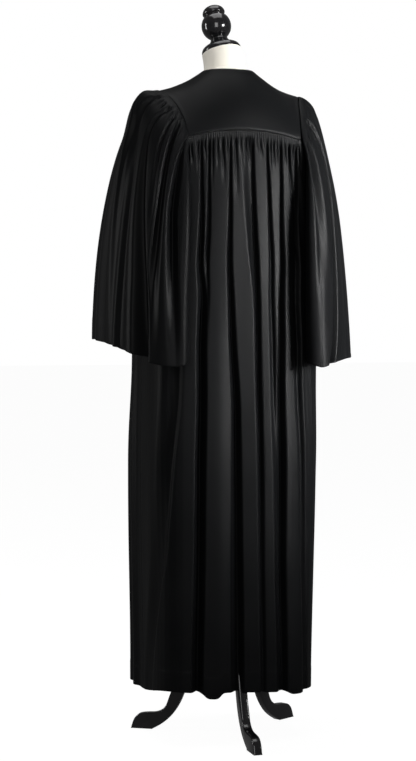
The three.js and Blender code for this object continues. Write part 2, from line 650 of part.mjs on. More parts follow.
function loose(geometry) {
  const flat = geometry.toNonIndexed().getAttribute("position");
  const faces = Array.from({ length: flat.count }, (_, i) => new THREE.Vector3().fromBufferAttribute(flat, i));
  const kept = [];
  for (let i = 0; i < faces.length; i += 3) {
    const [a, b, c] = faces.slice(i, i + 3);
    const area = b.clone().sub(a).cross(c.clone().sub(a)).length();
    if (area > EMPTY_AREA) {
      kept.push(a, b, c);
    }
  }
  return kept;
}

const NECK_CAP_PROFILE = [
  [0, 0], [41.5, 0], [43, 2], [42.5, 6], [39, 11.5], [32, 16], [25, 19], [22.5, 22], [19.5, 27], [18, 31.7], [0, 31.7],
];
const FINIAL_PROFILE = [
  [0, 32], [17, 32], [24, 38], [29.5, 46], [32.3, 56], [32, 66], [28.5, 76], [22.5, 84], [22, 86], [24.5, 89],
  [24, 94], [20.5, 100], [14, 104.5], [7, 106.6], [0, 107.2],
];

// Stand
const LEG_OUTLINE = [
  [217, 0], [211.5, 17], [205.5, 26.5], [196, 33], [180, 35.5], [162, 37], [148, 42.5], [137, 54], [130, 72],
  [120, 100], [110, 138], [100, 180], [82, 220], [58, 251], [38, 266], [15, 274], [15, 212], [36, 204], [56, 184],
  [72, 155], [84, 122], [93, 92], [102, 68], [114, 46], [130, 26], [148, 11.5], [168, 0],
];
const HUB_PROFILE = [
  [0, HUB_LOW - 14], [12, HUB_LOW - 12], [19, HUB_LOW - 6], [HUB_RADIUS, HUB_LOW], [HUB_RADIUS, HUB_HIGH - 10],
  [22, HUB_HIGH - 4], [17, HUB_HIGH], [0, HUB_HIGH],
];

function manifoldOf(geometry) {
  const flat = geometry.index ? geometry.clone() : mergeVertices(geometry, WELD);
  const mesh = new wasm.Mesh({
    numProp: 3,
    vertProperties: new Float32Array(flat.getAttribute("position").array),
    triVerts: new Uint32Array(flat.index.array),
  });
  return new wasm.Manifold(mesh);
}

function geometryOf(manifold) {
  const mesh = manifold.getMesh();
  const geometry = new THREE.BufferGeometry();
  geometry.setAttribute("position", new THREE.BufferAttribute(mesh.vertProperties, 3));
  geometry.setIndex(new THREE.BufferAttribute(mesh.triVerts, 1));
  geometry.computeVertexNormals();
  return geometry;
}

// The hub's room is cut out of each leg between these heights
const [SOCKET_LOW, SOCKET_HIGH] = [150, 320];
const SOCKET_SIDES = 48;

function legGeometry() {
  const shape = new THREE.Shape(LEG_OUTLINE.map(([r, z]) => new THREE.Vector2(r, z)));
  const geometry = new THREE.ExtrudeGeometry(shape, { depth: LEG_THICK, bevelEnabled: false });
  geometry.translate(0, 0, -LEG_THICK / 2);
  geometry.rotateX(Math.PI / 2);
  geometry.deleteAttribute("normal");
  geometry.deleteAttribute("uv");
  const leg = manifoldOf(solid(loose(mergeVertices(geometry, WELD))));
  const room = HUB_RADIUS + FIT;
  const socket = [[0, SOCKET_LOW], [room, SOCKET_LOW], [room, SOCKET_HIGH], [0, SOCKET_HIGH]];
  return geometryOf(leg.subtract(manifoldOf(turned(socket, SOCKET_SIDES))));
}

// Materials
const robeCloth = () =>
  new THREE.MeshStandardMaterial({ color: ROBE_BLACK, roughness: 0.75, metalness: 0 });
const lacquer = () =>
  new THREE.MeshStandardMaterial({ color: LACQUER_BLACK, roughness: 0.15, metalness: 0 });
const jersey = () =>
  new THREE.MeshStandardMaterial({ color: FORM_CREAM, roughness: 0.85, metalness: 0 });

function piece(name, geometry, material) {
  const mesh = new THREE.Mesh(geometry, material);
  mesh.name = name;
  return mesh;
}

const BACK_YOKE_COLUMNS = 32;
const FRONT_YOKE_COLUMNS = 14;

function robe() {
  const group = new THREE.Group();
  const front = YOKE_SPOKES.length - 1;
  const backSeam = BACK_COLUMNS.map(backSpoke);
  const frontSeam = FRONT_COLUMNS.map(frontSpoke);
  const frontYoke = yokePiece(SHOULDER_SPOKE, front, FRONT_YOKE_COLUMNS, frontSeam, 1);
  const otherSeam = frontSeam.map((k) => -k);
  const otherYoke = yokePiece(-front, -SHOULDER_SPOKE, FRONT_YOKE_COLUMNS, otherSeam, -1);
  const backYoke = yokePiece(-SHOULDER_SPOKE, SHOULDER_SPOKE, BACK_YOKE_COLUMNS, backSeam, 0);
  group.add(piece("yoke_back", backYoke, robeCloth()));
  group.add(piece("yoke_front_left", frontYoke, robeCloth()));
  group.add(piece("yoke_front_right", otherYoke, robeCloth()));
  group.add(piece("back_panel", backPanel(), robeCloth()));
  group.add(piece("front_panel_left", frontPanel(1), robeCloth()));
  group.add(piece("front_panel_right", frontPanel(-1), robeCloth()));
  group.add(piece("front_placket", placket(), robeCloth()));
  const left = sleeve(CUFF_LEFT, SLEEVE_HANG_LEFT, SLEEVE_FOLDS_LEFT, 1);
  const right = sleeve(CUFF_RIGHT, SLEEVE_HANG_RIGHT, SLEEVE_FOLDS_RIGHT, -1);
  group.add(piece("sleeve_left", left, robeCloth()));
  group.add(piece("sleeve_right", right, robeCloth()));
  return group;
}

function dressForm() {
  const group = new THREE.Group();
  group.add(piece("form_torso", loft(formRings()), jersey()));
  const top = new THREE.Group();
  const [crown] = NECK_RINGS;
  const lean = new THREE.Vector3(crown.leanX, crown.leanY, 1).normalize();
  top.quaternion.setFromUnitVectors(new THREE.Vector3(0, 0, 1), lean);
  top.position.set(crown.x, crown.y, crown.z + FIT);
  top.add(piece("neck_cap", turned(NECK_CAP_PROFILE, TURNED_SIDES), lacquer()));
  top.add(piece("finial", turned(FINIAL_PROFILE, TURNED_SIDES), lacquer()));
  group.add(top);
  return group;
}

const BASE_SIDES = 32;
const BASE_INSET = 6;

function stand() {
  const group = new THREE.Group();
  const foot = FORM_SECTIONS.at(-1);
  const baseHigh = foot.z - FIT;
  const plate = [baseHigh, baseHigh - BASE_THICK].map((z) =>
    Array.from({ length: BASE_SIDES }, (_, i) => {
      const [half, front, back] = [foot.half - BASE_INSET, foot.front + BASE_INSET, foot.back - BASE_INSET];
      return vector([...sectionPoint({ ...foot, half, front, back }, (-i * 2 * Math.PI) / BASE_SIDES), z]);
    }),
  );
  group.add(piece("form_base", loft(plate), lacquer()));
  const postTop = baseHigh - BASE_THICK - FIT;
  const post = [[0, HUB_HIGH + FIT], [POST_RADIUS, HUB_HIGH + FIT], [POST_RADIUS, postTop], [0, postTop]];
  group.add(piece("post", turned(post, TURNED_SIDES), lacquer()));
  group.add(piece("hub", turned(HUB_PROFILE, TURNED_SIDES), lacquer()));
  for (let i = 0; i < LEG_COUNT; i += 1) {
    const leg = piece(`leg_${i + 1}`, legGeometry(), lacquer());
    leg.rotation.z = Math.PI / 2 + LEG_TURN + (i * 2 * Math.PI) / LEG_COUNT;
    group.add(leg);
  }
  return group;
}

const judgeRobe = new THREE.Group();
judgeRobe.add(robe(), dressForm(), stand());
judgeRobe.position.y = CENTRE_SHIFT_Y;
export default judgeRobe;
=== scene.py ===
"""Judge robe on a limbless dress form: the looks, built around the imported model.

The cloth follows the same named sizes as the solids, in millimetres, before it is turned into
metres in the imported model's frame. The wearer faces -Y, and +X is the wearer's left.
"""

import math

import bpy
import numpy as np
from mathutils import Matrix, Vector


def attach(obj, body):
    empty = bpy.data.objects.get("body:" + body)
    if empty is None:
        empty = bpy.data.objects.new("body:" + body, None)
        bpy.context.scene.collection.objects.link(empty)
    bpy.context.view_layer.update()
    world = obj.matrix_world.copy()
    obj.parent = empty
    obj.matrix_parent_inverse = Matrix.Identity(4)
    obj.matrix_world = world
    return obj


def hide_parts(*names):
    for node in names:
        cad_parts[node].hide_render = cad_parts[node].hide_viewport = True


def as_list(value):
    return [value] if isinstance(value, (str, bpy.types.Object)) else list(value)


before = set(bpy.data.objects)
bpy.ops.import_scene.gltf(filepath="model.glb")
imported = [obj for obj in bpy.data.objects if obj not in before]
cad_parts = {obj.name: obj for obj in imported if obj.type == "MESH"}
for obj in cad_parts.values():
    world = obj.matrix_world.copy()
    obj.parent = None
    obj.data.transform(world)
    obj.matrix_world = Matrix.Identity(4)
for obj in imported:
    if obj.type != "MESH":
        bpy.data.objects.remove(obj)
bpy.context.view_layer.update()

# Sizes in mm
SHIFT_Y = -17.0
CLOTH = 1.1
SEAM_GAP = 0.4
SEAM_DROP = 0.65
FLY_HALF_WIDTH = 19.0
HEM_HEIGHT = 105.0
HEM_TURN = 45.0
CUFF_TURN = 42.0
BODY_LENGTH = 1190.0
SLEEVE_LENGTH = 560.0
SHIRR_BAND = 20.0

# Keeps a division clear of zero
TINY = 1e-9

# The hem rises at the back: by how much, how much more for each mm to the left, and from where to where
HEM_RISE = 8.0
HEM_SLANT = 0.05
HEM_RISE_FROM, HEM_RISE_TO = -20, 110

# Shares of a panel's length: where it has left the line of its seam, and the placket's two ends
FAN_OUT = 0.26
FLY_HEAD = 0.004
FLY_FOOT = 0.66

# The armhole on the wearer's left: place, way out of the seam, reach along that way, and
# how far the sleeve's edge lies outside the body's edge
ARMHOLE = np.array([
    [167, 5, 1186, 0.2, 0, -1, 90, 3.2],
    [159, 66, 1202, 0.2, 0.25, -0.9, 90, 4.2],
    [142, 101, 1238, -0.02, 0.55, -0.8, 88, 3.6],
    [128, 113, 1291, 0.3, 0.55, -0.75, 84, 2.6],
    [135, 86, 1342, 0.75, 0.55, -0.32, 80, 0.8],
    [147, 50, 1377, 0.92, 0.32, -0.06, 82, 0],
    [160, 12, 1395, 1, 0, 0, 86, 0],
    [152, -30, 1382, 0.93, -0.3, -0.06, 78, 0],
    [142, -68, 1345, 0.82, -0.45, -0.3, 74, 0.8],
    [135, -92, 1300, 0.55, -0.4, -0.7, 72, 2.6],
    [145, -84, 1246, 0.35, -0.3, -0.85, 80, 2.8],
    [160, -46, 1204, 0.25, -0.15, -0.9, 90, 3.0],
])
LINE = ARMHOLE[:, :3]
STATIONS = len(ARMHOLE)
YOKE_END_STATION = 3
FRONT_YOKE_STATION = 9

# Yoke spokes from the centre back over the shoulder to the centre front: neck point and rise
NECKLINE = np.array([
    [0, 56, 1443, 12], [26, 50, 1443.5, 11], [43, 36, 1444, 9], [51, 22, 1444, 6],
    [55, 10, 1443.5, -1], [56, -2, 1443, -6], [55, -20, 1438, -4], [50, -42, 1423, 2],
    [38, -64, 1396, 6], [21, -84, 1364, 6], [0, -101, 1334, 2],
])
CENTRE_BACK, MID_BACK = [0, 117, 1307.5], [66, 116.5, 1303.5]
MID_FRONT, CENTRE_FRONT = [68, -113, 1299], [0, -119, 1299]
YOKE_END_SPOKE, SHOULDER_SPOKE, FRONT_YOKE_SPOKE = 2, 5, 8
LAST_SPOKE = len(NECKLINE) - 1

# Level sections: height, half width, sideways shift, front, back, squareness
BODY_SECTIONS = np.array([
    [1300, 150, 0, -119, 117, 2.6],
    [1186, 166, 0, -132, 117, 2.8],
    [1000, 175, 3, -150, 117, 3.2],
    [820, 182, 5, -160, 118, 3.6],
    [600, 185, 5, -166, 120, 4],
    [100, 178, 6, -168, 121, 4],
])
FORM_SECTIONS = np.array([
    [1262, 136, 0, -106, 96, 2.5],
    [1205, 142, 0, -116, 96, 2.4],
    [1130, 134, 0, -108, 84, 2.3],
    [1050, 120, 0, -92, 74, 2.2],
    [960, 138, 0, -102, 90, 2.3],
    [870, 154, 0, -112, 98, 2.4],
    [800, 152, 0, -108, 94, 2.4],
    [786, 146, 0, -103, 89, 2.4],
])
# Neck rings: height, y, x, radius, lean along x, lean along y
NECK_RINGS = np.array([
    [1490.5, -27, 3, 42.5, 0.12, -0.26],
    [1468, -20, 1, 43.5, 0.06, -0.26],
    [1441, -13, 0, 46, 0, -0.26],
])
FIT = 0.3

CUFF_LEFT = np.array([
    [201, 15, 828], [190, 92, 828], [150, 150, 834], [172, 190, 811], [224, 163, 817], [268, 85, 846],
    [293, -15, 861], [282, -82, 864], [252, -118, 860], [218, -112, 850], [204, -76, 840], [202, -30, 832],
])
CUFF_RIGHT = np.array([
    [201, 15, 822], [188, 88, 820], [141, 142, 818], [152, 170, 806], [196, 152, 817], [244, 98, 824],
    [292, -15, 825], [282, -82, 825], [252, -118, 823], [218, -112, 822], [204, -76, 822], [202, -30, 822],
])
SLEEVE_REACH = 1.08
SLEEVE_DROP_LEFT = 210.0
SLEEVE_DROP_RIGHT = 0.0
SLEEVE_GAP = 0.9

# Folds. Places are shares of the way round at the seam, half way down and at the hem; left and right
# are the widths of the two slopes as shares, height is in mm, lean shifts the crest along the cloth
# in mm, begin and full are where the fold starts and where it has its whole height, and the last
# column says how broad its crest is.
BACK_FOLDS = [
    # top, mid, hem, left, right, height, lean, begin, full, crest
    [0.30, 0.32, 0.30, 0.2, 0.2, 7, 0, 0.1, 0.6, 1.0],
    [0.62, 0.62, 0.62, 0.25, 0.25, 9, 0, 0.1, 0.6, 1.0],
    [0.385, 0.41, 0.40, 0.07, 0.07, 5, 0, 0.2, 0.8, 1.0],
]
FRONT_FOLDS = [
    [0.14, 0.18, 0.18, 0.08, 0.08, 8, 0, 0.05, 0.55, 1.0],
    [0.3, 0.36, 0.36, 0.075, 0.085, 11, 2, 0.05, 0.55, 0.9],
    [0.44, 0.51, 0.51, 0.075, 0.06, 13, -3, 0.05, 0.5, 0.9],
    [0.58, 0.64, 0.645, 0.06, 0.07, 12, 3, 0.05, 0.5, 0.9],
    [0.74, 0.77, 0.775, 0.06, 0.055, 10, 2, 0.05, 0.6, 1.0],
]
SLEEVE_FOLDS_LEFT = [
    [0.5, 0.51, 0.51, 0.04, 0.04, 6, 0, 0.05, 0.5, 1.0],
    [0.55, 0.573, 0.58, 0.036, 0.03, 11, 3, 0.05, 0.5, 0.9],
    [0.61, 0.62, 0.62, 0.022, 0.026, -9, 0, 0.1, 0.5, 1.0],
    [0.65, 0.665, 0.67, 0.03, 0.036, 11, -3, 0.05, 0.5, 0.9],
    [0.71, 0.75, 0.755, 0.034, 0.034, 9, 0, 0.05, 0.5, 1.0],
]
SLEEVE_FOLDS_RIGHT = [
    [0.45, 0.44, 0.43, 0.04, 0.05, 9, 0, 0.06, 0.5, 1.0],
    [0.53, 0.54, 0.54, 0.034, 0.034, 8, 0, 0.05, 0.5, 1.0],
    [0.58, 0.585, 0.585, 0.024, 0.024, -8, 0, 0.1, 0.5, 1.0],
    [0.62, 0.635, 0.635, 0.036, 0.03, 10, 3, 0.05, 0.5, 0.9],
    [0.7, 0.735, 0.735, 0.034, 0.034, 8, 0, 0.05, 0.5, 1.0],
]

# Valleys: places as shares of the way round at the rows below, the widths of the left and
# right slope as shares near the top, half way and at the hem, and depths in mm, which are
# below zero for a crest
PLACE_ROWS = [0.03, 0.09, 0.19, 0.29, 0.48, 0.76, 0.965]
WIDTH_ROWS = [0.05, 0.3, 0.85]
DEPTH_ROWS = [0.025, 0.09, 0.19, 0.35, 0.6, 1.0]
BACK_VALLEYS = [
    # places, left, right, depths
    [[0.145, 0.165, 0.225, 0.25, 0.246, 0.19, 0.09], [0.03, 0.08, 0.09], [0.012, 0.014, 0.02],
     [3, 8, 9, 10, 9, 5]],
    [[0.228, 0.253, 0.302, 0.328, 0.336, 0.331, 0.322], [0.01, 0.024, 0.03], [0.01, 0.018, 0.018],
     [7, 7, 12, 20, 26, 24]],
    [[0.273, 0.292, 0.333, 0.345, 0.342, 0.34, 0.334], [0.01, 0.018, 0.02], [0.01, 0.014, 0.014],
     [7, 7, 9, 2, 0, 0]],
    [[0.403, 0.413, 0.432, 0.446, 0.474, 0.482, 0.488], [0.01, 0.022, 0.045], [0.01, 0.01, 0.014],
     [6, 9, 10, 15, 20, 21]],
    [[0.542, 0.542, 0.549, 0.558, 0.562, 0.569, 0.578], [0.075, 0.022, 0.018], [0.012, 0.01, 0.01],
     [6, 10, 13, 13, 11, 8]],
    [[0.635, 0.635, 0.623, 0.618, 0.62, 0.633, 0.645], [0.014, 0.02, 0.02], [0.01, 0.01, 0.012],
     [5, 8, 9, 8, 5, 2]],
    [[0.72, 0.713, 0.679, 0.665, 0.652, 0.652, 0.666], [0.012, 0.022, 0.04], [0.012, 0.012, 0.014],
     [6, 9, 14, 17, 20, 19]],
    [[0.82, 0.818, 0.775, 0.755, 0.741, 0.75, 0.768], [0.02, 0.044, 0.02], [0.01, 0.01, 0.01],
     [6, 8, 15, 14, 11, 8]],
    [[0.9, 0.89, 0.878, 0.866, 0.85, 0.85, 0.86], [0.014, 0.02, 0.03], [0.02, 0.03, 0.04],
     [6, 6, 4, 3, 2, 2]],
    [[0.86, 0.86, 0.852, 0.846, 0.842, 0.845, 0.85], [0.03, 0.08, 0.09], [0.03, 0.04, 0.05],
     [0, -6, -15, -16, -9, -6]],
]
# Where the shirred band ends, as a share of the way down
SHIRR_END = 0.017
# Short grooves below the back's shirred band: start, end, half width, depth, reach down
BACK_TUCKS = [
    [0.165, 0.19, 0.011, 5, 0.06], [0.212, 0.226, 0.013, 6, 0.08], [0.25, 0.262, 0.008, 4, 0.06],
    [0.296, 0.31, 0.011, 6, 0.12], [0.325, 0.332, 0.01, 5, 0.07], [0.357, 0.376, 0.014, 7, 0.1],
    [0.384, 0.39, 0.008, 4, 0.055], [0.437, 0.452, 0.016, 6, 0.13], [0.468, 0.49, 0.009, 4, 0.07],
    [0.503, 0.522, 0.01, 5, 0.075], [0.524, 0.534, 0.008, 5, 0.06], [0.59, 0.6, 0.012, 4, 0.05],
    [0.655, 0.65, 0.008, 4, 0.08], [0.675, 0.674, 0.009, 5, 0.07], [0.698, 0.7, 0.009, 5, 0.07],
    [0.745, 0.748, 0.009, 5, 0.06], [0.772, 0.776, 0.014, 9, 0.16], [0.798, 0.797, 0.009, 5, 0.06],
    [0.845, 0.868, 0.013, 7, 0.09], [0.87, 0.88, 0.01, 5, 0.07],
]
LEFT_SLEEVE_VALLEYS = [
    [[0.25, 0.26, 0.272, 0.28, 0.29, 0.28, 0.27], [0.01, 0.02, 0.03], [0.008, 0.014, 0.024],
     [0, 6, 9, 14, 18, 0]],
    [[0.31, 0.31, 0.316, 0.32, 0.327, 0.336, 0.336], [0.009, 0.014, 0.024], [0.007, 0.012, 0.018],
     [0, 6, 9, 12, 13, 0]],
    [[0.36, 0.37, 0.393, 0.403, 0.39, 0.37, 0.366], [0.01, 0.012, 0.026], [0.008, 0.012, 0.022],
     [0, 5, 6, 8, 18, 36]],
    [[0.43, 0.44, 0.455, 0.455, 0.43, 0.42, 0.416], [0.012, 0.016, 0.02], [0.014, 0.024, 0.04],
     [0, 6, 9, 11, 11, 5]],
    [[0.335, 0.335, 0.345, 0.352, 0.35, 0.35, 0.35], [0.008, 0.01, 0.012], [0.008, 0.01, 0.012],
     [0, 6, 7, 5, 0, 0]],
    [[0.49, 0.49, 0.488, 0.482, 0.475, 0.464, 0.46], [0.012, 0.012, 0.014], [0.012, 0.012, 0.014],
     [0, -1, -5, -9, -7, -2]],
    [[0.45, 0.45, 0.45, 0.45, 0.44, 0.434, 0.434], [0.012, 0.012, 0.012], [0.012, 0.012, 0.012],
     [0, 0, 0, 0, -5, -9]],
    [[0.225, 0.225, 0.225, 0.225, 0.225, 0.222, 0.22], [0.02, 0.03, 0.03], [0.02, 0.045, 0.05],
     [0, -3, -6, -9, -10, -8]],
]
RIGHT_SLEEVE_VALLEYS = [
    [[0.19, 0.19, 0.185, 0.18, 0.175, 0.172, 0.17], [0.03, 0.04, 0.045], [0.04, 0.07, 0.08],
     [0, -4, -10, -15, -15, -12]],
    [[0.25, 0.26, 0.268, 0.27, 0.27, 0.255, 0.25], [0.03, 0.04, 0.06], [0.03, 0.035, 0.05],
     [0, 6, 12, 10, -2, -4]],
    [[0.33, 0.345, 0.37, 0.378, 0.347, 0.327, 0.305], [0.016, 0.022, 0.02], [0.012, 0.012, 0.014],
     [0, 6, 9, 12, 14, 12]],
]
# Ridges that hang lower at the hem: place across, half width and drop, in mm
LOW_RIDGES = [[78, 19, 13], [-118, 22, 7]]
# The heights between which the drop fades out
LOW_FROM, LOW_TO = 100, 400


def smooth(a, b, x):
    """A soft step from 0 at a to 1 at b."""
    k = np.clip((x - a) / (b - a), 0, 1)
    return k * k * (3 - 2 * k)


def mix(a, b, k):
    return a + (b - a) * k


def through(points, s, closed=False):
    """Points on the smooth curve through the stations, at station numbers s."""
    points = np.asarray(points, float)
    s = np.asarray(s, float)
    n = len(points)
    i = np.clip(np.floor(s).astype(int), 0, (n if closed else n - 1) - 1)
    f = (s - i)[..., None]

    def pick(k):
        return points[k % n] if closed else points[np.clip(k, 0, n - 1)]

    a, b, c, d = pick(i - 1), pick(i), pick(i + 1), pick(i + 2)
    f2, f3 = f * f, f * f * f
    start = (2 * f3 - 3 * f2 + 1) * b
    leaving = (f3 - 2 * f2 + f) * (c - a) / 2
    end = (3 * f2 - 2 * f3) * c
    arriving = (f3 - f2) * (d - b) / 2
    return start + leaving + end + arriving


def section_at(table, z):
    """The section's half width, shift, front, back and squareness at heights z."""
    z = np.asarray(z, float)
    i = np.sum(z[..., None] < table[1:-1, 0], axis=-1)
    top, low = table[i], table[i + 1]
    k = smooth(0, 1, (top[..., 0] - z) / (top[..., 0] - low[..., 0]))[..., None]
    return mix(top[..., 1:], low[..., 1:], k)


def section_point(section, angle):
    """The point of a level section that lies at an angle from its middle."""
    half, shift, front, back, square = np.moveaxis(section, -1, 0)
    c, s = np.cos(angle), np.sin(angle)
    deep = (back - front) / 2
    r = (np.abs(c / half) ** square + np.abs(s / deep) ** square) ** (-1 / square)
    return np.stack([shift + r * c, (back + front) / 2 + r * s], -1)


def section_share(section, start, end, share, steps=48):
    """Points of the sections by their share of the length between two angles."""
    angles = np.linspace(start, end, steps + 1)
    points = section_point(section[..., None, :], angles)
    lengths = np.concatenate([
        np.zeros(points.shape[:-2] + (1,)),
        np.cumsum(np.linalg.norm(np.diff(points, axis=-2), axis=-1), axis=-1),
    ], -1)
    goal = share * lengths[..., -1]
    i = np.clip(np.sum(lengths < goal[..., None], axis=-1), 1, steps)
    low = np.take_along_axis(lengths, (i - 1)[..., None], -1)[..., 0]
    high = np.take_along_axis(lengths, i[..., None], -1)[..., 0]
    a = np.take_along_axis(points, (i - 1)[..., None, None], -2)[..., 0, :]
    b = np.take_along_axis(points, i[..., None, None], -2)[..., 0, :]
    return mix(a, b, ((goal - low) / (high - low))[..., None])


def mirrored(p):
    """The same place on the wearer's other side."""
    return [-p[0], p[1], p[2]]


BACK_SEAM = [mirrored(MID_BACK), CENTRE_BACK, MID_BACK, LINE[YOKE_END_STATION]]
FRONT_SEAM = [LINE[FRONT_YOKE_STATION], MID_FRONT, CENTRE_FRONT, mirrored(MID_FRONT)]


def yoke_edge(k):
    """The yoke's outer edge at spoke k: the back seam, then the armhole, then the front seam."""
    k = np.asarray(k, float)
    back = through(BACK_SEAM, np.clip(k, 0, YOKE_END_SPOKE) + 1)
    arm_spoke = np.clip(k, YOKE_END_SPOKE, FRONT_YOKE_SPOKE)
    arm = through(LINE, arm_spoke - YOKE_END_SPOKE + YOKE_END_STATION, True)
    front = through(FRONT_SEAM, np.clip(k, FRONT_YOKE_SPOKE, LAST_SPOKE) - FRONT_YOKE_SPOKE)
    after_back = np.where((k < FRONT_YOKE_SPOKE)[..., None], arm, front)
    return np.where((k < YOKE_END_SPOKE)[..., None], back, after_back)


def yoke_point(s, v, inset=0.0):
    """The yoke at spoke s, below zero on the right, and at share v from the neck to its edge."""
    side = np.where(s < 0, -1.0, 1.0)
    k = np.abs(s)
    neck4 = through(NECKLINE, k)
    neck, rise = neck4[..., :3], neck4[..., 3]
    edge = yoke_edge(k)
    p = mix(neck, edge, v[..., None])
    across = np.hypot(edge[..., 0] - neck[..., 0], edge[..., 1] - neck[..., 1])
    slope = np.arctan2(neck[..., 2] - edge[..., 2], across)
    bow = rise * 4 * v * (1 - v) - inset
    level = bow * np.sin(slope) / across
    x = side * (p[..., 0] + (edge[..., 0] - neck[..., 0]) * level)
    y = p[..., 1] + (edge[..., 1] - neck[..., 1]) * level
    return np.stack([x, y, p[..., 2] + bow * np.cos(slope)], -1)


# Shares of a panel's top edge that lie along the armhole
BACK_ARMHOLE_SHARE = 0.13
FRONT_ARMHOLE_SHARE = 0.2


def back_top(u):
    """The back panel's top edge, from the wearer's left to the right."""
    side = np.where(u > 0.5, -1.0, 1.0)
    k = np.where(u > 0.5, 1 - u, u)
    arm = through(LINE, np.clip(k / BACK_ARMHOLE_SHARE, 0, 1) * YOKE_END_STATION, True)
    yoke = yoke_edge(np.clip((0.5 - k) / (0.5 - BACK_ARMHOLE_SHARE), 0, 1) * YOKE_END_SPOKE)
    p = np.where((k < BACK_ARMHOLE_SHARE)[..., None], arm, yoke)
    return p * np.stack([side, np.ones_like(side), np.ones_like(side)], -1) - [0, 0, SEAM_DROP]


def front_top(u):
    """A front panel's top edge, from the side seam to the centre front."""
    down = mix(STATIONS, FRONT_YOKE_STATION, np.clip(u / FRONT_ARMHOLE_SHARE, 0, 1)) % STATIONS
    arm = through(LINE, down, True)
    share = np.clip((u - FRONT_ARMHOLE_SHARE) / (1 - FRONT_ARMHOLE_SHARE), 0, 1)
    yoke = yoke_edge(mix(FRONT_YOKE_SPOKE, LAST_SPOKE, share))
    return np.where((u < FRONT_ARMHOLE_SHARE)[..., None], arm, yoke) - [0, 0, SEAM_DROP]


def hem_height(x, y):
    return HEM_HEIGHT + (HEM_RISE + HEM_SLANT * x) * smooth(HEM_RISE_FROM, HEM_RISE_TO, y)


def body_surface(top, start, end, inset, side=1.0):
    """The hanging panel below its top edge, as a function of shares across and down."""
    flip = np.array([1, side, 1, 1, 1])

    def surface(u, t):
        v = mix(inset, 1 - inset, u)
        head = top(v)
        foot = section_share(section_at(BODY_SECTIONS, np.full(v.shape, HEM_HEIGHT)) * flip, start, end, v)
        level = mix(head[..., 2], hem_height(side * foot[..., 0], foot[..., 1]), t)
        place = section_share(section_at(BODY_SECTIONS, level) * flip, start, end, v)
        k = smooth(0, FAN_OUT, t)
        x = side * mix(head[..., 0], place[..., 0], k)
        return np.stack([x, mix(head[..., 1], place[..., 1], k), level], -1)

    return surface


def sleeve_surface(cuff, drop, side):
    """The sleeve from the armhole down to its cuff, as a function of shares around and down."""
    ways = ARMHOLE[:, 3:6] / np.linalg.norm(ARMHOLE[:, 3:6], axis=1, keepdims=True)
    half, shift, front, back, square = BODY_SECTIONS[1, 1:]
    deep = (back - front) / 2
    dx, dy = LINE[:, 0] - shift, LINE[:, 1] - (back + front) / 2
    out = np.stack([
        np.sign(dx) * np.abs(dx / half) ** (square - 1) / half,
        np.sign(dy) * np.abs(dy / deep) ** (square - 1) / deep,
        np.zeros(STATIONS),
    ], -1)
    out /= np.linalg.norm(out, axis=1, keepdims=True)
    heads = LINE + out * ARMHOLE[:, 7:8] + ways * SLEEVE_GAP
    reaches = ARMHOLE[:, 6:7] * SLEEVE_REACH

    def surface(u, t):
        s = (u % 1) * STATIONS
        head, foot = through(heads, s, True), through(cuff, s, True)
        way, reach = through(ways, s, True), through(reaches, s, True)
        t = np.broadcast_to(t, s.shape)[..., None]
        a, b, c, d = (1 - t) ** 3, 3 * t * (1 - t) ** 2, 3 * t * t * (1 - t), t**3
        p = (a + b) * head + b * way * reach + (c + d) * foot
        p = p + np.concatenate([np.zeros_like(c), np.zeros_like(c), c * drop], -1)
        return p * [side, 1, 1]

    return surface


# Height of the folds and gathers over a surface, in mm
FOLD_START = 0.1
CRINKLE_DEPTH = 0.5
STITCH_DEPTH = 0.35


def hump(k):
    """A round hump that is 1 at k = 0 and 0 at k = -1 and 1."""
    return (1 + np.cos(np.pi * np.clip(k, -1, 1))) / 2


def fold_place(fold, t):
    """Where the fold's crest lies at share t of the way down."""
    top, mid, hem = fold[:3]
    return np.where(t < 0.5, mix(top, mid, smooth(0, 0.5, t)), mix(mid, hem, smooth(0.5, 1, t)))


def folded(folds, u, t, around=False):
    """Height of the folds and the shift of their crests along the cloth."""
    height, shift = np.zeros(u.shape), np.zeros(u.shape)
    for fold in folds:
        left, right, high, lean, begin, full, crest = fold[3:]
        away = u - fold_place(fold, t)
        if around:
            away = (away + 0.5) % 1 - 0.5
        shape = hump(np.where(away < 0, away / left, away / right))
        rise = shape**crest * mix(FOLD_START, 1, smooth(begin, full, t))
        height += high * rise
        shift += lean * rise**1.5
    return height, shift


def gathers(rng, u, t, count, start, end, depth, lengths, drift, band, onset=0.02):
    """Uneven grooves that run down from the shirred band, narrow at first and wide lower down."""
    height = np.zeros(u.shape)
    step = (end - start) / count
    for i in range(count):
        place = start + (i + 0.5 + rng.uniform(-0.22, 0.22)) * step
        deep = depth * rng.uniform(0.55, 1.25)
        long = rng.choice(lengths) * rng.uniform(0.8, 1.25)
        slide = rng.uniform(-drift, drift) * step
        grow = rng.uniform(1.15, 1.9)
        away = u - place - slide * smooth(0, long, t)
        wide = step * 0.5 * mix(0.85, grow, smooth(0, long, t))
        run = smooth(band, band + onset, t) * (1 - smooth(band, long, t)) ** 1.2
        height -= deep * hump(away / wide) ** 1.4 * run
    return height


def shirring(rng, u, t, count, start, end, band):
    """Fine crinkles in the shirred band below a seam, with the band's lower row of stitches."""
    k = (u - start) / (end - start)
    wave = np.cos(2 * np.pi * (count * k + 0.35 * np.sin(2 * np.pi * (5 * k + rng.uniform()))))
    inside = smooth(0, 0.15 * band, t) * (1 - smooth(band, 1.5 * band, t))
    row = np.exp(-(((t - band) / (0.09 * band)) ** 2))
    return CRINKLE_DEPTH * wave * inside - STITCH_DEPTH * row


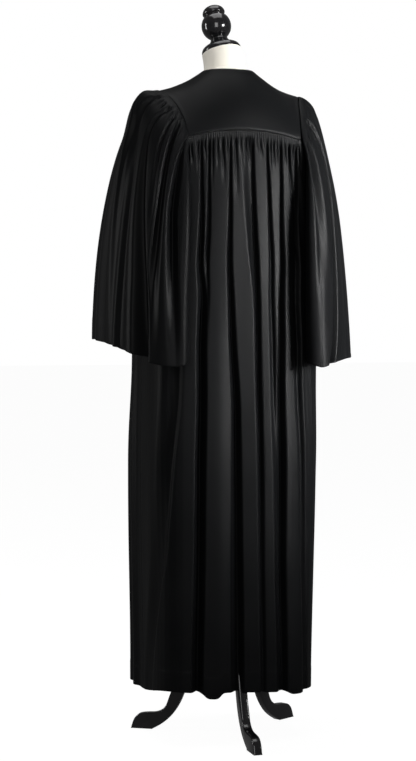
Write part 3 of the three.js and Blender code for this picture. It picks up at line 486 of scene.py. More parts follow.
def run_down(rows, values, t, steps=201, blur=9, pad=12):
    """A value given at a few rows, as a smooth run down the cloth."""
    fine = np.linspace(0, 1, steps)
    curve = np.pad(np.interp(fine, rows, values), pad, mode="edge")
    for _ in range(2):
        curve = np.convolve(curve, np.ones(blur) / blur, mode="same")
    return np.interp(t, fine, curve[pad:-pad])


def valleys(table, u, t):
    """Height of the valleys and crests that the table lists, in mm."""
    height = np.zeros(u.shape)
    for places, left, right, depths in table:
        away = u - run_down(PLACE_ROWS, places, t)
        wide = np.where(away < 0, run_down(WIDTH_ROWS, left, t), run_down(WIDTH_ROWS, right, t))
        height -= run_down(DEPTH_ROWS, depths, t) * hump(away / wide) ** 0.8
    return height


def tucks(table, u, t):
    """Short grooves below the shirred band: each runs from one place to another and fades out."""
    height = np.zeros(u.shape)
    for start, end, wide, depth, long in table:
        down = smooth(SHIRR_END, long, t)
        away = u - mix(start, end, down)
        fade = smooth(0.6 * SHIRR_END, 1.3 * SHIRR_END, t) * (1 - smooth(1.5 * SHIRR_END, long, t))
        height -= depth * hump(away / (wide * mix(0.8, 1.3, down))) * fade
    return height


def uneven(rng, u, t, size, waves):
    """A gentle unevenness, in mm."""
    height = np.zeros(u.shape)
    for _ in range(waves):
        fu, ft = rng.uniform(3, 11), rng.uniform(0.6, 2.6)
        height += np.sin(2 * np.pi * (round(fu) * u + ft * t + rng.uniform())) * rng.uniform(0.4, 1)
    return size * height / math.sqrt(waves)


def normals_of(p, around):
    """Unit normals of a grid of points."""
    q = np.concatenate([p[:, -1:], p, p[:, :1]], 1) if around else p
    du = np.gradient(q, axis=1)
    du = du[:, 1:-1] if around else du
    n = np.cross(du, np.gradient(p, axis=0))
    return n / np.maximum(np.linalg.norm(n, axis=-1, keepdims=True), TINY)


# Shares: the step that gives a surface's slope, and the edge in which the evening out fades
SLOPE_STEP = 0.002
EVEN_EDGE = 0.12


def wall(
    name, surface, us, ts, relief, flip=1.0, around=False, lift=0.0, cloth=CLOTH, thick=None, keep=None,
    even=0,
):
    """A thin shell of cloth over a surface, with its folds, as a closed mesh.

    flip is the side of the outside, lift the height over the surface, and even the number of times
    that the cloth is evened out. keep moves points that may not be where they are.
    """
    u, t = np.meshgrid(us, ts)
    u0, u1 = u - SLOPE_STEP, u + SLOPE_STEP
    if not around:
        u0, u1 = np.maximum(u0, 0), np.minimum(u1, 1)
    du = surface(u1, t) - surface(u0, t)
    dt = surface(u, np.minimum(t + SLOPE_STEP, 1)) - surface(u, np.maximum(t - SLOPE_STEP, 0))
    n = np.cross(du, dt)
    n *= flip / np.linalg.norm(n, axis=-1, keepdims=True)
    along = du / np.linalg.norm(du, axis=-1, keepdims=True)
    height, shift = relief(u, t)
    middle = surface(u, t) + n * (height + lift)[..., None] + along * shift[..., None]
    free = (smooth(0, EVEN_EDGE, t) * smooth(0, EVEN_EDGE, 1 - t))[:, 1:-1, None]
    for _ in range(even):
        middle[:, 1:-1] += 0.5 * free * ((middle[:, :-2] + middle[:, 2:]) / 2 - middle[:, 1:-1])
    true = normals_of(middle, around) * flip
    half = (cloth if thick is None else thick(u, t, cloth)) / 2
    half = np.broadcast_to(half, u.shape)[..., None]
    outer, inner = middle + true * half, middle - true * half
    if keep is not None:
        outer, inner = keep(outer), keep(inner)
    return shell(name, outer, inner, around, u, t, middle)


def shell(name, outer, inner, around, u, t, middle):
    """The closed mesh between two layers of points, with the cloth's measures on it."""
    rows, cols = u.shape
    grid = np.arange(rows * cols).reshape(rows, cols)
    wrapped = np.concatenate([grid, grid[:, :1]], 1) if around else grid
    a, b = wrapped[:-1, :-1].ravel(), wrapped[:-1, 1:].ravel()
    c, d = wrapped[1:, 1:].ravel(), wrapped[1:, :-1].ravel()
    base = rows * cols
    faces = [np.stack([a, b, c, d], 1), np.stack([a, d, c, b], 1) + base]

    def rim(line, way):
        p, q = line[:-1], line[1:]
        quad = [p, p + base, q + base, q] if way > 0 else [p, q, q + base, p + base]
        faces.append(np.stack(quad, 1))

    rim(wrapped[0], 1)
    rim(wrapped[-1], -1)
    if not around:
        rim(grid[:, 0], -1)
        rim(grid[:, -1], 1)
    faces = np.concatenate(faces)
    points = np.concatenate([outer.reshape(-1, 3), inner.reshape(-1, 3)])
    a, b, c, d = np.moveaxis(points[faces], 1, 0)
    if np.sum(a * (np.cross(b, c) + np.cross(c, d))) < 0:
        faces = faces[:, ::-1]
    wide = np.linalg.norm(np.diff(middle, axis=1), axis=-1).sum(1).mean()
    long = np.linalg.norm(np.diff(middle, axis=0), axis=-1).sum(0).mean()
    uv = np.stack([u.ravel() * wide, t.ravel() * long], 1) / 1000
    cell = np.linalg.norm(np.cross(np.diff(middle, axis=1)[:-1], np.diff(middle, axis=0)[:, :-1]), axis=-1)
    piece = made(name, points, faces, np.concatenate([uv, uv]))
    piece["cloth_wide_mm"] = wide
    piece["cloth_area_mm2"] = float(cell.sum())
    return piece


def made(name, points, faces, uv=None, angle=None):
    """A mesh object from points in mm and faces."""
    points = (np.asarray(points, float) + [0, SHIFT_Y, 0]) / 1000
    mesh = bpy.data.meshes.new(name)
    mesh.from_pydata(points, [], faces, shade_flat=False)
    if uv is not None:
        layer = mesh.uv_layers.new(name="UVMap")
        corner = np.zeros(len(mesh.loops), np.int32)
        mesh.loops.foreach_get("vertex_index", corner)
        layer.data.foreach_set("uv", uv[corner].astype(np.float32).ravel())
    mesh.validate()
    mesh.update()
    if angle is not None:
        mesh.set_sharp_from_angle(angle=math.radians(angle))
    return placed(name, mesh)


def placed(name, data):
    """A new object in the scene."""
    thing = bpy.data.objects.new(name, data)
    bpy.context.scene.collection.objects.link(thing)
    return thing


# Materials
def nodes_of(name):
    """A new material with its node tree and its shader."""
    material = bpy.data.materials.new(name)
    material.use_nodes = True
    tree = material.node_tree
    shader = tree.nodes["Principled BSDF"]
    return material, tree, shader


def add(tree, kind, **values):
    """A new node. Names with a capital letter are its inputs, the others its settings."""
    node = tree.nodes.new(kind)
    for key, value in values.items():
        if key in node.inputs:
            node.inputs[key].default_value = value
        else:
            setattr(node, key, value)
    return node


def texture(tree, vector, kind="ShaderNodeTexNoise", **values):
    """A texture over the given coordinates."""
    node = add(tree, kind, **values)
    tree.links.new(vector, node.inputs["Vector"])
    return node


def bump(tree, source, strength, distance, below=None):
    """Relief from a texture, distance in metres, on top of the relief below it."""
    node = add(tree, "ShaderNodeBump", Strength=strength, Distance=distance)
    tree.links.new(source.outputs["Fac"], node.inputs["Height"])
    if below is not None:
        tree.links.new(below.outputs["Normal"], node.inputs["Normal"])
    return node


def ramp(tree, source, low, high):
    """Colours by a texture's value, each end as its place and its red, green and blue."""
    node = tree.nodes.new("ShaderNodeValToRGB")
    tree.links.new(source.outputs["Fac"], node.inputs["Fac"])
    for element, (place, red, green, blue) in zip(node.color_ramp.elements, (low, high)):
        element.position = place
        element.color = (red, green, blue, 1)
    return node


def set_inputs(node, values):
    for key, value in values.items():
        node.inputs[key].default_value = value


def robe_cloth(name, turn):
    """Black twill with a soft satin lustre. turn is the lie of the cloth's grain in degrees."""
    material, tree, shader = nodes_of(name)
    link = tree.links.new
    coordinates = add(tree, "ShaderNodeTexCoord")
    grain = add(tree, "ShaderNodeMapping", Rotation=(0, 0, math.radians(turn)))
    link(coordinates.outputs["UV"], grain.inputs["Vector"])
    along = grain.outputs["Vector"]
    twill = texture(
        tree, along, "ShaderNodeTexWave", wave_type="BANDS", bands_direction="DIAGONAL",
        Scale=280.0, Distortion=0.6, Detail=2.0,
    )
    slub = texture(tree, along, Scale=900.0, Detail=3.0)
    cloud = texture(tree, along, Scale=9.0, Detail=4.0)
    tone = ramp(tree, cloud, (0.3, 0.0036, 0.0039, 0.0043), (0.72, 0.0052, 0.0054, 0.0059))
    weave = add(tree, "ShaderNodeMix", data_type="RGBA", blend_type="MULTIPLY", Factor=0.35)
    link(tone.outputs["Color"], weave.inputs["A"])
    link(twill.outputs["Color"], weave.inputs["B"])
    link(weave.outputs["Result"], shader.inputs["Base Color"])
    gloss = ramp(tree, cloud, (0.25, 0.4, 0.4, 0.4), (0.8, 0.48, 0.48, 0.48))
    link(gloss.outputs["Color"], shader.inputs["Roughness"])
    threads = bump(tree, twill, 0.25, 0.00012)
    surface = bump(tree, slub, 0.2, 0.0001, threads)
    link(surface.outputs["Normal"], shader.inputs["Normal"])
    set_inputs(shader, {
        "Specular IOR Level": 0.075,
        "Sheen Weight": 0.003,
        "Sheen Roughness": 0.35,
        "Sheen Tint": (0.8, 0.74, 0.82, 1),
    })
    return material


def form_jersey():
    """Cream stretch jersey with its fine ribs and fuzz."""
    material, tree, shader = nodes_of("form_jersey")
    link = tree.links.new
    place = add(tree, "ShaderNodeTexCoord").outputs["Object"]
    knit = texture(
        tree, place, "ShaderNodeTexWave", wave_type="BANDS", bands_direction="X", Scale=260.0, Distortion=1.5,
    )
    fuzz = texture(tree, place, Scale=700.0)
    cloud = texture(tree, place, Scale=12.0)
    tone = ramp(tree, cloud, (0.3, 0.86, 0.81, 0.71), (0.7, 0.9, 0.86, 0.77))
    link(tone.outputs["Color"], shader.inputs["Base Color"])
    ribs = bump(tree, knit, 0.3, 0.0002)
    surface = bump(tree, fuzz, 0.3, 0.0002, ribs)
    link(surface.outputs["Normal"], shader.inputs["Normal"])
    set_inputs(shader, {"Roughness": 0.85, "Sheen Weight": 0.25, "Sheen Roughness": 0.5})
    return material


def lacquer():
    """Gloss black lacquer over turned and sawn wood."""
    material, tree, shader = nodes_of("black_lacquer")
    link = tree.links.new
    place = add(tree, "ShaderNodeTexCoord").outputs["Object"]
    grain = texture(tree, place, Scale=35.0, Detail=5.0)
    tone = ramp(tree, grain, (0.35, 0.006, 0.006, 0.007), (0.7, 0.012, 0.011, 0.012))
    link(tone.outputs["Color"], shader.inputs["Base Color"])
    gloss = ramp(tree, grain, (0.3, 0.12, 0.12, 0.12), (0.8, 0.2, 0.2, 0.2))
    link(gloss.outputs["Color"], shader.inputs["Roughness"])
    surface = bump(tree, grain, 0.08, 0.0004)
    link(surface.outputs["Normal"], shader.inputs["Normal"])
    set_inputs(shader, {"Coat Weight": 0.5, "Coat Roughness": 0.06})
    return material


ROBE = robe_cloth("robe_cloth", 0)
ROBE_YOKE = robe_cloth("robe_cloth_yoke", 8)
JERSEY = form_jersey()
LACQUER = lacquer()


def dress(piece, material, slot, *stands_for):
    """Gives a piece its material, hangs it under the root body and hides the parts that it stands for."""
    piece.data.materials.append(material)
    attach(piece, "root")
    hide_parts(*stands_for)
    return piece


# Rows and columns
def places(parts):
    """Shares from 0 to 1: each part is (end, steps to it)."""
    values, low = [0.0], 0.0
    for end, steps in parts:
        values.extend(mix(low, end, np.arange(1, steps + 1) / steps))
        low = end
    return np.array(values)


def with_turn(ts, length, turn):
    """The rows, with extra ones at the line where the hem is sewn up."""
    line = 1 - turn / length
    extra = line + np.array([-4, -2, -1, 0, 1, 2, 4]) / length
    edge = 1 - np.array([3, 1.2]) / length
    off_line = np.abs(ts - line) > 5.5 / length
    off_edge = (ts < 1 - 4.5 / length) | (ts > 1 - 0.1 / length)
    return np.sort(np.concatenate([ts[off_line & off_edge], extra, edge]))


# The hem: its sewn line's depth and width in mm, how much thicker it is and within how many mm of
# that line it gets so, and how much thinner its edge is and over how many mm
HEM_DENT, HEM_DENT_WIDTH = 0.1, 1.6
DOUBLED, DOUBLED_WITHIN = 0.8, 4
EDGE_THINNED, EDGE_WIDTH = 0.35, 2.5


def hem_line(t, length, turn):
    """A shallow dent along the sewing of the hem, in mm."""
    away = (t - 1) * length + turn
    return -HEM_DENT * np.exp(-((away / HEM_DENT_WIDTH) ** 2))


def hem_thick(length, turn):
    """The cloth's thickness: nearly double below the sewing of the hem, thinner at its edge."""
    def thick(_, t, cloth):
        doubled = smooth(-DOUBLED_WITHIN, DOUBLED_WITHIN, (t - 1) * length + turn)
        edge = 1 - EDGE_THINNED * smooth(-EDGE_WIDTH, 0, (t - 1) * length)
        return cloth * (1 + DOUBLED * doubled) * edge

    return thick


def seam_roll(distance, depth, wide):
    """The cloth turns in at a seam, distance in mm from it."""
    return -depth * (1 - smooth(0, wide, distance))


# How far down the gathers reach, as shares of the length
FRONT_LENGTHS = [0.05, 0.07, 0.08, 0.1, 0.12, 0.15, 0.2, 0.27]
SLEEVE_LENGTHS = [0.12, 0.15, 0.18, 0.22, 0.28]
BODY_BAND = SHIRR_BAND / BODY_LENGTH
SLEEVE_BAND = SHIRR_BAND * 1.3 / SLEEVE_LENGTH
BODY_ROWS = with_turn(places([(0.03, 14), (0.12, 26), (0.3, 30), (1, 88)]), BODY_LENGTH, HEM_TURN)
SLEEVE_ROWS = with_turn(places([(0.06, 14), (0.25, 32), (0.5, 28), (1, 46)]), SLEEVE_LENGTH, CUFF_TURN)
BODY_THICK = hem_thick(BODY_LENGTH, HEM_TURN)
SLEEVE_THICK = hem_thick(SLEEVE_LENGTH, CUFF_TURN)
# Seeds of the random draws
BACK_SEED = 11
FRONT_SEED = 20
YOKE_SEED = 5
# The share of their depth with which the back's tucks are drawn
TUCK_STRENGTH = 0.75


def body_edges(height, side, t):
    """A panel's relief, level at its side seams, with the roll at its top and the hem's dent."""
    return height * side + seam_roll(t * BODY_LENGTH, 0.35, 3) * side + hem_line(t, BODY_LENGTH, HEM_TURN)


def back_relief(u, t):
    rng = np.random.default_rng(BACK_SEED)
    side = smooth(0, 0.05, u) * smooth(0, 0.05, 1 - u)
    inside = smooth(0.13, 0.16, u) * smooth(0.13, 0.16, 1 - u)
    height, shift = folded(BACK_FOLDS, u, t)
    height += valleys(BACK_VALLEYS, u, t) * smooth(0.4 * SHIRR_END, 1.8 * SHIRR_END, t)
    height += TUCK_STRENGTH * tucks(BACK_TUCKS, u, t) * inside
    height += inside * gathers(
        rng, u, t, count=30, start=0.142, end=0.858, depth=2.2, lengths=[0.04, 0.05, 0.06],
        drift=0.6, band=0.008,
    )
    height += shirring(rng, u, t, count=60, start=0.14, end=0.86, band=BODY_BAND) * inside
    height += uneven(rng, u, t, size=0.3, waves=5) * smooth(0.1, 0.3, t)
    return body_edges(height, side, t), shift * side


def front_relief(seed):
    def relief(u, t):
        rng = np.random.default_rng(seed)
        side = smooth(0, 0.06, u) * smooth(0.13, 0.21, 1 - u)
        inside = smooth(0.21, 0.26, u) * smooth(0.13, 0.18, 1 - u)
        height, shift = folded(FRONT_FOLDS, u, t)
        height += inside * gathers(
            rng, u, t, count=12, start=0.22, end=0.87, depth=5, lengths=FRONT_LENGTHS, drift=0.8, band=0.008,
        )
        height += inside * gathers(
            rng, u, t, count=5, start=0.24, end=0.85, depth=4, lengths=[0.3, 0.4], drift=0.8, band=0.02,
        )
        height += shirring(rng, u, t, count=26, start=0.22, end=0.87, band=BODY_BAND) * inside
        height += uneven(rng, u, t, size=0.5, waves=4) * smooth(0.1, 0.3, t)
        return body_edges(height, side, t), shift * side

    return relief


def sleeve_relief(folds, table, seed, count, flat, puff):
    """flat is how far the outside hangs in, puff how far its head stands out, both in mm."""
    def relief(u, t):
        rng = np.random.default_rng(seed)
        inside = smooth(0.22, 0.27, u) * (1 - smooth(0.73, 0.78, u))
        height, shift = folded(folds, u, t, True)
        height += valleys(table, u, t)
        outside = smooth(0.4, 0.5, u) * (1 - smooth(0.8, 0.9, u))
        height -= flat * outside * smooth(0.1, 0.35, t)
        height += puff * outside * smooth(0.03, 0.12, t) * (1 - smooth(0.18, 0.35, t))
        height += inside * gathers(
            rng, u, t, count=count, start=0.24, end=0.76, depth=4, lengths=SLEEVE_LENGTHS,
            drift=1, band=0.05, onset=0.045,
        )
        height += shirring(rng, u, t, count=90, start=0.23, end=0.77, band=SLEEVE_BAND) * inside
        height += uneven(rng, u, t, size=0.5, waves=5) * smooth(0.1, 0.3, t)
        return height + hem_line(t, SLEEVE_LENGTH, CUFF_TURN), shift

    return relief


def on_side(side):
    """Keeps a piece on its side of the centre front."""
    def keep(p):
        centre = section_at(BODY_SECTIONS, np.minimum(p[..., 2], BODY_SECTIONS[0, 0]))[..., 1]
        x = side * np.maximum(side * (p[..., 0] - centre), SEAM_GAP / 2) + centre
        return np.concatenate([x[..., None], p[..., 1:]], -1)

    return keep


def low_ridges(p):
    """Lets a few ridges of the back hang a little lower than their neighbours, in mm."""
    drop = np.zeros(p.shape[:-1])
    for place, half, down in LOW_RIDGES:
        drop += down * np.exp(-((p[..., 0] - place) / half) ** 4)
    drop *= 1 - smooth(LOW_FROM, LOW_TO, p[..., 2])
    return np.concatenate([p[..., :2], (p[..., 2] - drop)[..., None]], -1)


# The robe. The insets keep the panels apart at the side seams, as shares of their widths.
BACK_INSET = 0.0001
FRONT_INSET = 0.0002
back_columns = places([(0.13, 26), (0.87, 222), (1, 26)])
back_surface = body_surface(back_top, 0, math.pi, BACK_INSET)
back_panel = wall(
    "back_panel_cloth", back_surface, back_columns, BODY_ROWS, back_relief,
    flip=-1, thick=BODY_THICK, keep=low_ridges,
)
front_columns = places([(0.2, 20), (0.88, 96), (1, 14)])
front_surfaces = {}
fronts = {}
for side, name in ((1, "left"), (-1, "right")):
    front_surfaces[side] = body_surface(front_top, 0, -math.pi / 2, FRONT_INSET, side)
    fronts[side] = wall(
        f"front_panel_{name}_cloth", front_surfaces[side], front_columns, BODY_ROWS,
        front_relief(FRONT_SEED + side), flip=side, thick=BODY_THICK, keep=on_side(side),
    )

# The placket: its height over the fronts, its cloth and the stitch line beside its edges
PLACKET_LIFT = 2.25
PLACKET_CLOTH = 1.4
TOPSTITCH_PLACE = 0.72
TOPSTITCH_DEPTH = 0.3
TOPSTITCH_WIDTH = 1.2


def placket_surface(u, t):
    across = 2 * u - 1
    k = mix(FLY_HEAD, FLY_FOOT, t)
    one = np.ones_like(k)
    sample = 0.1
    reach = front_surfaces[1](one, k) - front_surfaces[1](one - sample, k)
    v = 1 - np.abs(across) * FLY_HALF_WIDTH * sample / np.linalg.norm(reach, axis=-1)
    left, right = front_surfaces[1](v, k), front_surfaces[-1](v, k)
    return np.where((across < 0)[..., None], right, left)


def placket_relief(u, t):
    away = np.abs(2 * u - 1) - TOPSTITCH_PLACE
    stitched = -TOPSTITCH_DEPTH * np.exp(-((away * FLY_HALF_WIDTH / TOPSTITCH_WIDTH) ** 2))
    return stitched, np.zeros(u.shape)


placket_columns = places([(0.1, 2), (0.18, 3), (0.5, 6), (0.82, 6), (0.9, 3), (1, 2)])
placket = wall(
    "front_placket_cloth", placket_surface, placket_columns, places([(1, 120)]), placket_relief,
    flip=-1, lift=PLACKET_LIFT, cloth=PLACKET_CLOTH,
)

# The yokes: their usual depth, the width from one spoke to the next and the passes of evening out
YOKE_DEPTH = 130
SPOKE_WIDTH = 40
YOKE_EVEN = 120


def yoke_relief(u, t):
    rng = np.random.default_rng(YOKE_SEED)
    edge = seam_roll((1 - t) * YOKE_DEPTH, 0.8, 4) + seam_roll(t * YOKE_DEPTH, 0.3, 3)
    return edge + uneven(rng, u, t, size=0.25, waves=4), np.zeros(u.shape)


def yoke(name, start, end, columns, keep=None):
    """A piece of the yoke from one spoke to another."""
    inset = SEAM_GAP / 2 / ((end - start) * SPOKE_WIDTH)

    def surface(u, t):
        return yoke_point(mix(start, end, mix(inset, 1 - inset, u)), np.broadcast_to(t, u.shape))

    rows = places([(0.03, 3), (0.1, 3), (0.9, 26), (0.97, 4), (1, 4)])
    return wall(name, surface, places([(1, columns)]), rows, yoke_relief, keep=keep, even=YOKE_EVEN)


yoke_back = yoke("yoke_back_cloth", -SHOULDER_SPOKE, SHOULDER_SPOKE, 150)
yoke_left = yoke("yoke_front_left_cloth", SHOULDER_SPOKE, LAST_SPOKE, 70, on_side(1))
yoke_right = yoke("yoke_front_right_cloth", -LAST_SPOKE, -SHOULDER_SPOKE, 70, on_side(-1))

sleeve_columns = places([(0.22, 36), (0.78, 236), (1, 36)])[:-1]
left_relief = sleeve_relief(SLEEVE_FOLDS_LEFT, LEFT_SLEEVE_VALLEYS, seed=31, count=44, flat=11, puff=9)
right_relief = sleeve_relief(SLEEVE_FOLDS_RIGHT, RIGHT_SLEEVE_VALLEYS, seed=37, count=40, flat=18, puff=3)
sleeves = {}
for side, name, cuff, drop, relief in (
    (1, "left", CUFF_LEFT, SLEEVE_DROP_LEFT, left_relief),
    (-1, "right", CUFF_RIGHT, SLEEVE_DROP_RIGHT, right_relief),
):
    sleeves[side] = wall(
        f"sleeve_{name}_cloth", sleeve_surface(cuff, drop, side), sleeve_columns, SLEEVE_ROWS, relief,
        flip=side, around=True, thick=SLEEVE_THICK,
    )

for piece, cloth, node in (
    (yoke_back, ROBE_YOKE, "yoke_back"),
    (yoke_left, ROBE_YOKE, "yoke_front_left"),
    (yoke_right, ROBE_YOKE, "yoke_front_right"),
    (back_panel, ROBE, "back_panel"),
    (fronts[1], ROBE, "front_panel_left"),
    (fronts[-1], ROBE, "front_panel_right"),
    (placket, ROBE, "front_placket"),
    (sleeves[1], ROBE, "sleeve_left"),
    (sleeves[-1], ROBE, "sleeve_right"),
):
    dress(piece, cloth, "robe_cloth", node)


# The dress form lies FORM_INSET mm below the yokes and follows them down to the share FORM_REACH.
# An edge of a hard piece is sharp from SHARP degrees.
SIDES = 96
SHARP = 40
FORM_INSET = 3.5
FORM_REACH = 0.95


def ring_faces(count, sides):
    """The faces between rings of points, and the numbers of the points."""
    grid = np.arange(count * sides).reshape(count, sides)
    beside = np.roll(grid, -1, axis=1)
    faces = np.stack([grid[:-1], beside[:-1], beside[1:], grid[1:]], -1).reshape(-1, 4)
    return [list(face) for face in faces], grid


def capped(name, rings):
    """A closed solid through rings of points, with a fan at each end."""
    rings = np.asarray(rings, float)
    count, sides = rings.shape[:2]
    faces, grid = ring_faces(count, sides)
    points = list(rings.reshape(-1, 3)) + [rings[0].mean(0), rings[-1].mean(0)]
    top, low = count * sides, count * sides + 1
    for j in range(sides):
        k = (j + 1) % sides
        faces.append([top, grid[0][k], grid[0][j]])
        faces.append([low, grid[-1][j], grid[-1][k]])
    return made(name, points, faces, angle=SHARP)


def form_rings():
    """The form from the neck over the shoulders down to its base."""
    angles = np.arange(SIDES) * 2 * np.pi / SIDES
    spokes = np.where(angles <= np.pi, angles, angles - 2 * np.pi) * LAST_SPOKE / np.pi
    rings = []
    for z, y, x, radius, lean_x, lean_y in through(NECK_RINGS, np.linspace(0, 2, 7)):
        dx, dy = radius * np.sin(angles), radius * np.cos(angles)
        rings.append(np.stack([x + dx, y + dy, z - lean_x * dx - lean_y * dy], -1))
    for v in np.linspace(0, FORM_REACH, 16):
        rings.append(yoke_point(spokes, np.full(SIDES, v), FORM_INSET))
    top, low, base = FORM_SECTIONS[[0, -2, -1], 0]
    for z in np.concatenate([np.linspace(top, low, 40), [(low + base) / 2, base]]):
        section = section_at(FORM_SECTIONS, np.full(SIDES, z))
        rings.append(np.concatenate([section_point(section, np.pi / 2 - angles), np.full((SIDES, 1), z)], -1))
    return rings


def turned(profile):
    """Rings round the upright axis, from pairs of radius and height."""
    angles = np.arange(SIDES) * 2 * np.pi / SIDES
    rings = []
    for radius, z in np.asarray(profile, float):
        rings.append(np.stack([radius * np.cos(angles), radius * np.sin(angles), np.full(SIDES, z)], -1))
    return rings


def softened(profile, each=6):
    """The profile with rounded runs: smooth through its points, ends kept."""
    return through(profile, np.linspace(0, len(profile) - 1, (len(profile) - 1) * each + 1))


def leaned(rings):
    """Rings set on the neck's upper end, which leans."""
    z, y, x, _, lean_x, lean_y = NECK_RINGS[0]
    way = Vector((lean_x, lean_y, 1)).normalized()
    turn = np.array(Vector((0, 0, 1)).rotation_difference(way).to_matrix())
    return [ring @ turn.T + [x, y, z + FIT] for ring in rings]


form = dress(capped("form_torso_jersey", form_rings()), JERSEY, "form_jersey", "form_torso")
CAP_PROFILE = [
    [41.3, 0], [42.6, 0.7], [43, 2.2], [42.4, 6], [39, 11.5], [32, 16], [25, 19], [22.5, 22],
    [19.5, 27], [18, 31.7],
]
FINIAL_PROFILE = [
    [17, 32], [24, 38], [29.5, 46], [32.3, 56], [32, 66], [28.5, 76], [22.5, 84], [22, 86], [24.5, 89],
    [24, 94], [20.5, 100], [14, 104.5], [7, 106.6], [0.6, 107.2],
]
cap = capped("neck_cap_turned", leaned(turned(softened(CAP_PROFILE))))
finial = capped("finial_turned", leaned(turned(softened(FINIAL_PROFILE))))
dress(cap, LACQUER, "black_lacquer", "neck_cap")
dress(finial, LACQUER, "black_lacquer", "finial")

# The stand: base plate, post and hub, as pairs of height and inset or of radius and height
BASE_RINGS = [[785.7, 1.2], [785.3, 0.4], [784.5, 0], [774.9, 0], [774.1, 0.4], [773.7, 1.2]]
POST_PROFILE = [[13.4, 292.3], [14, 293.1], [14, 772.6], [13.4, 773.4]]
HUB_PROFILE = [
    [0.5, 186], [12, 188], [19, 194], [24, 198.5], [25, 201], [25, 281], [24.4, 283], [22, 288],
    [17, 291.6], [16, 292],
]
BASE_INSET = 6
base_section = FORM_SECTIONS[-1, 1:] + [-BASE_INSET, 0, BASE_INSET, -BASE_INSET, 0]
base_angles = -np.arange(SIDES) * 2 * np.pi / SIDES


def base_ring(z, inset):
    section = np.broadcast_to(base_section + [-inset, 0, inset, -inset, 0], (SIDES, 5))
    return np.concatenate([section_point(section, base_angles), np.full((SIDES, 1), z)], -1)


form_base = capped("form_base_plate", [base_ring(z, inset) for z, inset in BASE_RINGS])
post = capped("post_turned", turned(POST_PROFILE))
hub = capped("hub_turned", turned(HUB_PROFILE))
dress(form_base, LACQUER, "black_lacquer", "form_base")
dress(post, LACQUER, "black_lacquer", "post")
dress(hub, LACQUER, "black_lacquer", "hub")

# A leg's outline, as pairs of distance from the post's middle and height
LEG_UPPER = [
    [217, 0], [211.5, 17], [205.5, 26.5], [196, 33], [180, 35.5], [162, 37], [148, 42.5], [137, 54],
    [130, 72], [120, 100], [110, 138], [100, 180], [82, 220], [58, 251], [38, 266], [25.6, 270.3],
]
LEG_LOWER = [
    [25.6, 208], [36, 204], [56, 184], [72, 155], [84, 122], [93, 92], [102, 68], [114, 46], [130, 26],
    [148, 11.5], [168, 0],
]
LEG_HALF = 9.5
LEG_EDGE = 3.0
LEG_INNER = 25.7
EDGE_STEPS = np.radians([90, 67, 45, 22, 0])
LEG_TURN = math.radians(-2.4)


def leg(name, turn):
    """A sawn leg with rounded long edges. Its foot and its inner end stay flat."""
    line = np.concatenate([softened(LEG_UPPER, 5), softened(LEG_LOWER, 5)])
    way = np.roll(line, -1, 0) - np.roll(line, 1, 0)
    inward = np.stack([-way[:, 1], way[:, 0]], -1)
    inward /= np.maximum(np.linalg.norm(inward, axis=1, keepdims=True), TINY)
    inward[(np.abs(line[:, 1]) < 0.01) | (line[:, 0] < LEG_INNER)] = 0
    rings = []
    for side, steps in ((-1, EDGE_STEPS), (1, EDGE_STEPS[::-1])):
        for angle in steps:
            inset = LEG_EDGE * (1 - math.cos(angle))
            depth = side * (LEG_HALF - LEG_EDGE + LEG_EDGE * math.sin(angle))
            rings.append(np.column_stack([line + inward * inset, np.full(len(line), depth)]))
    rings = np.array(rings)
    c, s = math.cos(turn), math.sin(turn)
    r, z, d = rings[..., 0], rings[..., 1], rings[..., 2]
    rings = np.stack([r * c - d * s, r * s + d * c, z], -1)
    faces, grid = ring_faces(*rings.shape[:2])
    faces += [list(grid[0][::-1]), list(grid[-1])]
    return made(name, rings.reshape(-1, 3), faces, angle=SHARP)


for number in range(3):
    made_leg = leg(f"leg_{number + 1}_shaped", math.pi / 2 + LEG_TURN + number * 2 * math.pi / 3)
    dress(made_leg, LACQUER, "black_lacquer", f"leg_{number + 1}")


# Each sheet, how it is held and what it rests on; the loop does nothing more with them than make a list of
# the rests
for piece, held, rests in (
    (yoke_back, "laid", [form]),
    (yoke_left, "laid", [form]),
    (yoke_right, "laid", [form]),
    (back_panel, "gathered", [yoke_back]),
    (fronts[1], "gathered", [yoke_left]),
    (fronts[-1], "gathered", [yoke_right]),
    (placket, "hung", [fronts[1], fronts[-1]]),
    (sleeves[1], "gathered", [yoke_back, yoke_left]),
    (sleeves[-1], "gathered", [yoke_back, yoke_right]),
):
    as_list(rests)


# The stage
FLOOR_HALF = 30.0
FLOOR_GLOW = 0.96
AMBIENT = 0.12


def area_light(name, place, target, size, power, spread=180):
    """A light that faces its target: size in m, power in W, spread in degrees."""
    light = bpy.data.lights.new(name, "AREA")
    light.shape = "RECTANGLE"
    light.size, light.size_y = size
    light.energy = power
    light.spread = math.radians(spread)
    lamp = placed(name, light)
    lamp.location = place
    lamp.rotation_mode = "QUATERNION"
    lamp.rotation_quaternion = (Vector(target) - Vector(place)).to_track_quat("-Z", "Y")


floor_mesh = bpy.data.meshes.new("floor")
corners = [(x * FLOOR_HALF, y * FLOOR_HALF, 0) for x, y in ((-1, -1), (1, -1), (1, 1), (-1, 1))]
floor_mesh.from_pydata(corners, [], [(0, 1, 2, 3)])
floor = placed("floor", floor_mesh)
pale, _, pale_shader = nodes_of("floor_pale")
set_inputs(pale_shader, {
    "Base Color": (0.12, 0.12, 0.12, 1),
    "Roughness": 0.9,
    "Specular IOR Level": 0.0,
    "Emission Color": (1, 1, 1, 1),
    "Emission Strength": FLOOR_GLOW,
})
floor_mesh.materials.append(pale)
floor.visible_diffuse = False
floor.visible_glossy = False

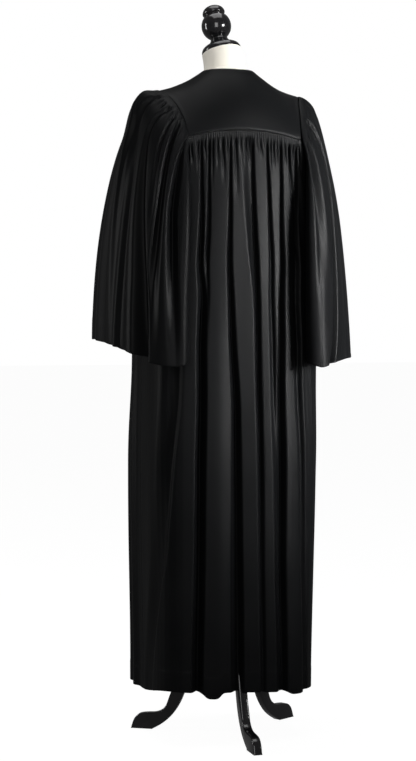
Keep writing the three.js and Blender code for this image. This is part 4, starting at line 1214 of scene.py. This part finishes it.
world = bpy.data.worlds.new("studio")
bpy.context.scene.world = world
world.use_nodes = True
sky = world.node_tree
seen = sky.nodes["Background"]
set_inputs(seen, {"Color": (1, 1, 1, 1), "Strength": 1.0})
ambient = add(sky, "ShaderNodeBackground", Color=(1, 1, 1, 1), Strength=AMBIENT)
path = add(sky, "ShaderNodeLightPath")
choose = add(sky, "ShaderNodeMixShader")
sky.links.new(path.outputs["Is Camera Ray"], choose.inputs["Fac"])
sky.links.new(ambient.outputs["Background"], choose.inputs[1])
sky.links.new(seen.outputs["Background"], choose.inputs[2])
sky.links.new(choose.outputs["Shader"], sky.nodes["World Output"].inputs["Surface"])
bpy.context.scene.view_settings.view_transform = "Standard"

area_light("overhead", place=(0, 0, 4.5), target=(0, 0, 0), size=(3.0, 3.0), power=58)
area_light("key", place=(-1.35, 1.7, 1.35), target=(-0.35, 0.1, 1.0), size=(0.6, 1.0), power=8, spread=30)
area_light("fill", place=(1.5, 4.2, 1.8), target=(0, 0, 0.9), size=(1.7, 2.4), power=46)
area_light("edge", place=(3.2, -1.2, 1.5), target=(0, 0, 1.0), size=(0.25, 2.0), power=30)

# The camera stands behind the wearer, 20 degrees to the wearer's left. AHEAD_PX is the pixel where
# its level line of sight at that angle shows.
CAMERA_TURN = math.radians(20)
CAMERA_PLACE = (1.3168, 3.6008, 0.908)
SENSOR_MM = 36
FOCAL_PX = 1763.3
IMAGE_SIZE = (416, 761)
AHEAD_PX = (227, 319)
camera_data = bpy.data.cameras.new("camera")
camera = placed("camera", camera_data)
camera.location = CAMERA_PLACE
ahead = Vector((-math.sin(CAMERA_TURN), -math.cos(CAMERA_TURN), 0))
rightward = Vector((-math.cos(CAMERA_TURN), math.sin(CAMERA_TURN), 0))
look = ahead + rightward * ((IMAGE_SIZE[0] / 2 - AHEAD_PX[0]) / FOCAL_PX)
look -= Vector((0, 0, 1)) * ((IMAGE_SIZE[1] / 2 - AHEAD_PX[1]) / FOCAL_PX)
camera.rotation_mode = "QUATERNION"
camera.rotation_quaternion = look.to_track_quat("-Z", "Y")
camera_data.sensor_width = SENSOR_MM
camera_data.lens = SENSOR_MM * FOCAL_PX / IMAGE_SIZE[1]
bpy.context.scene.camera = camera
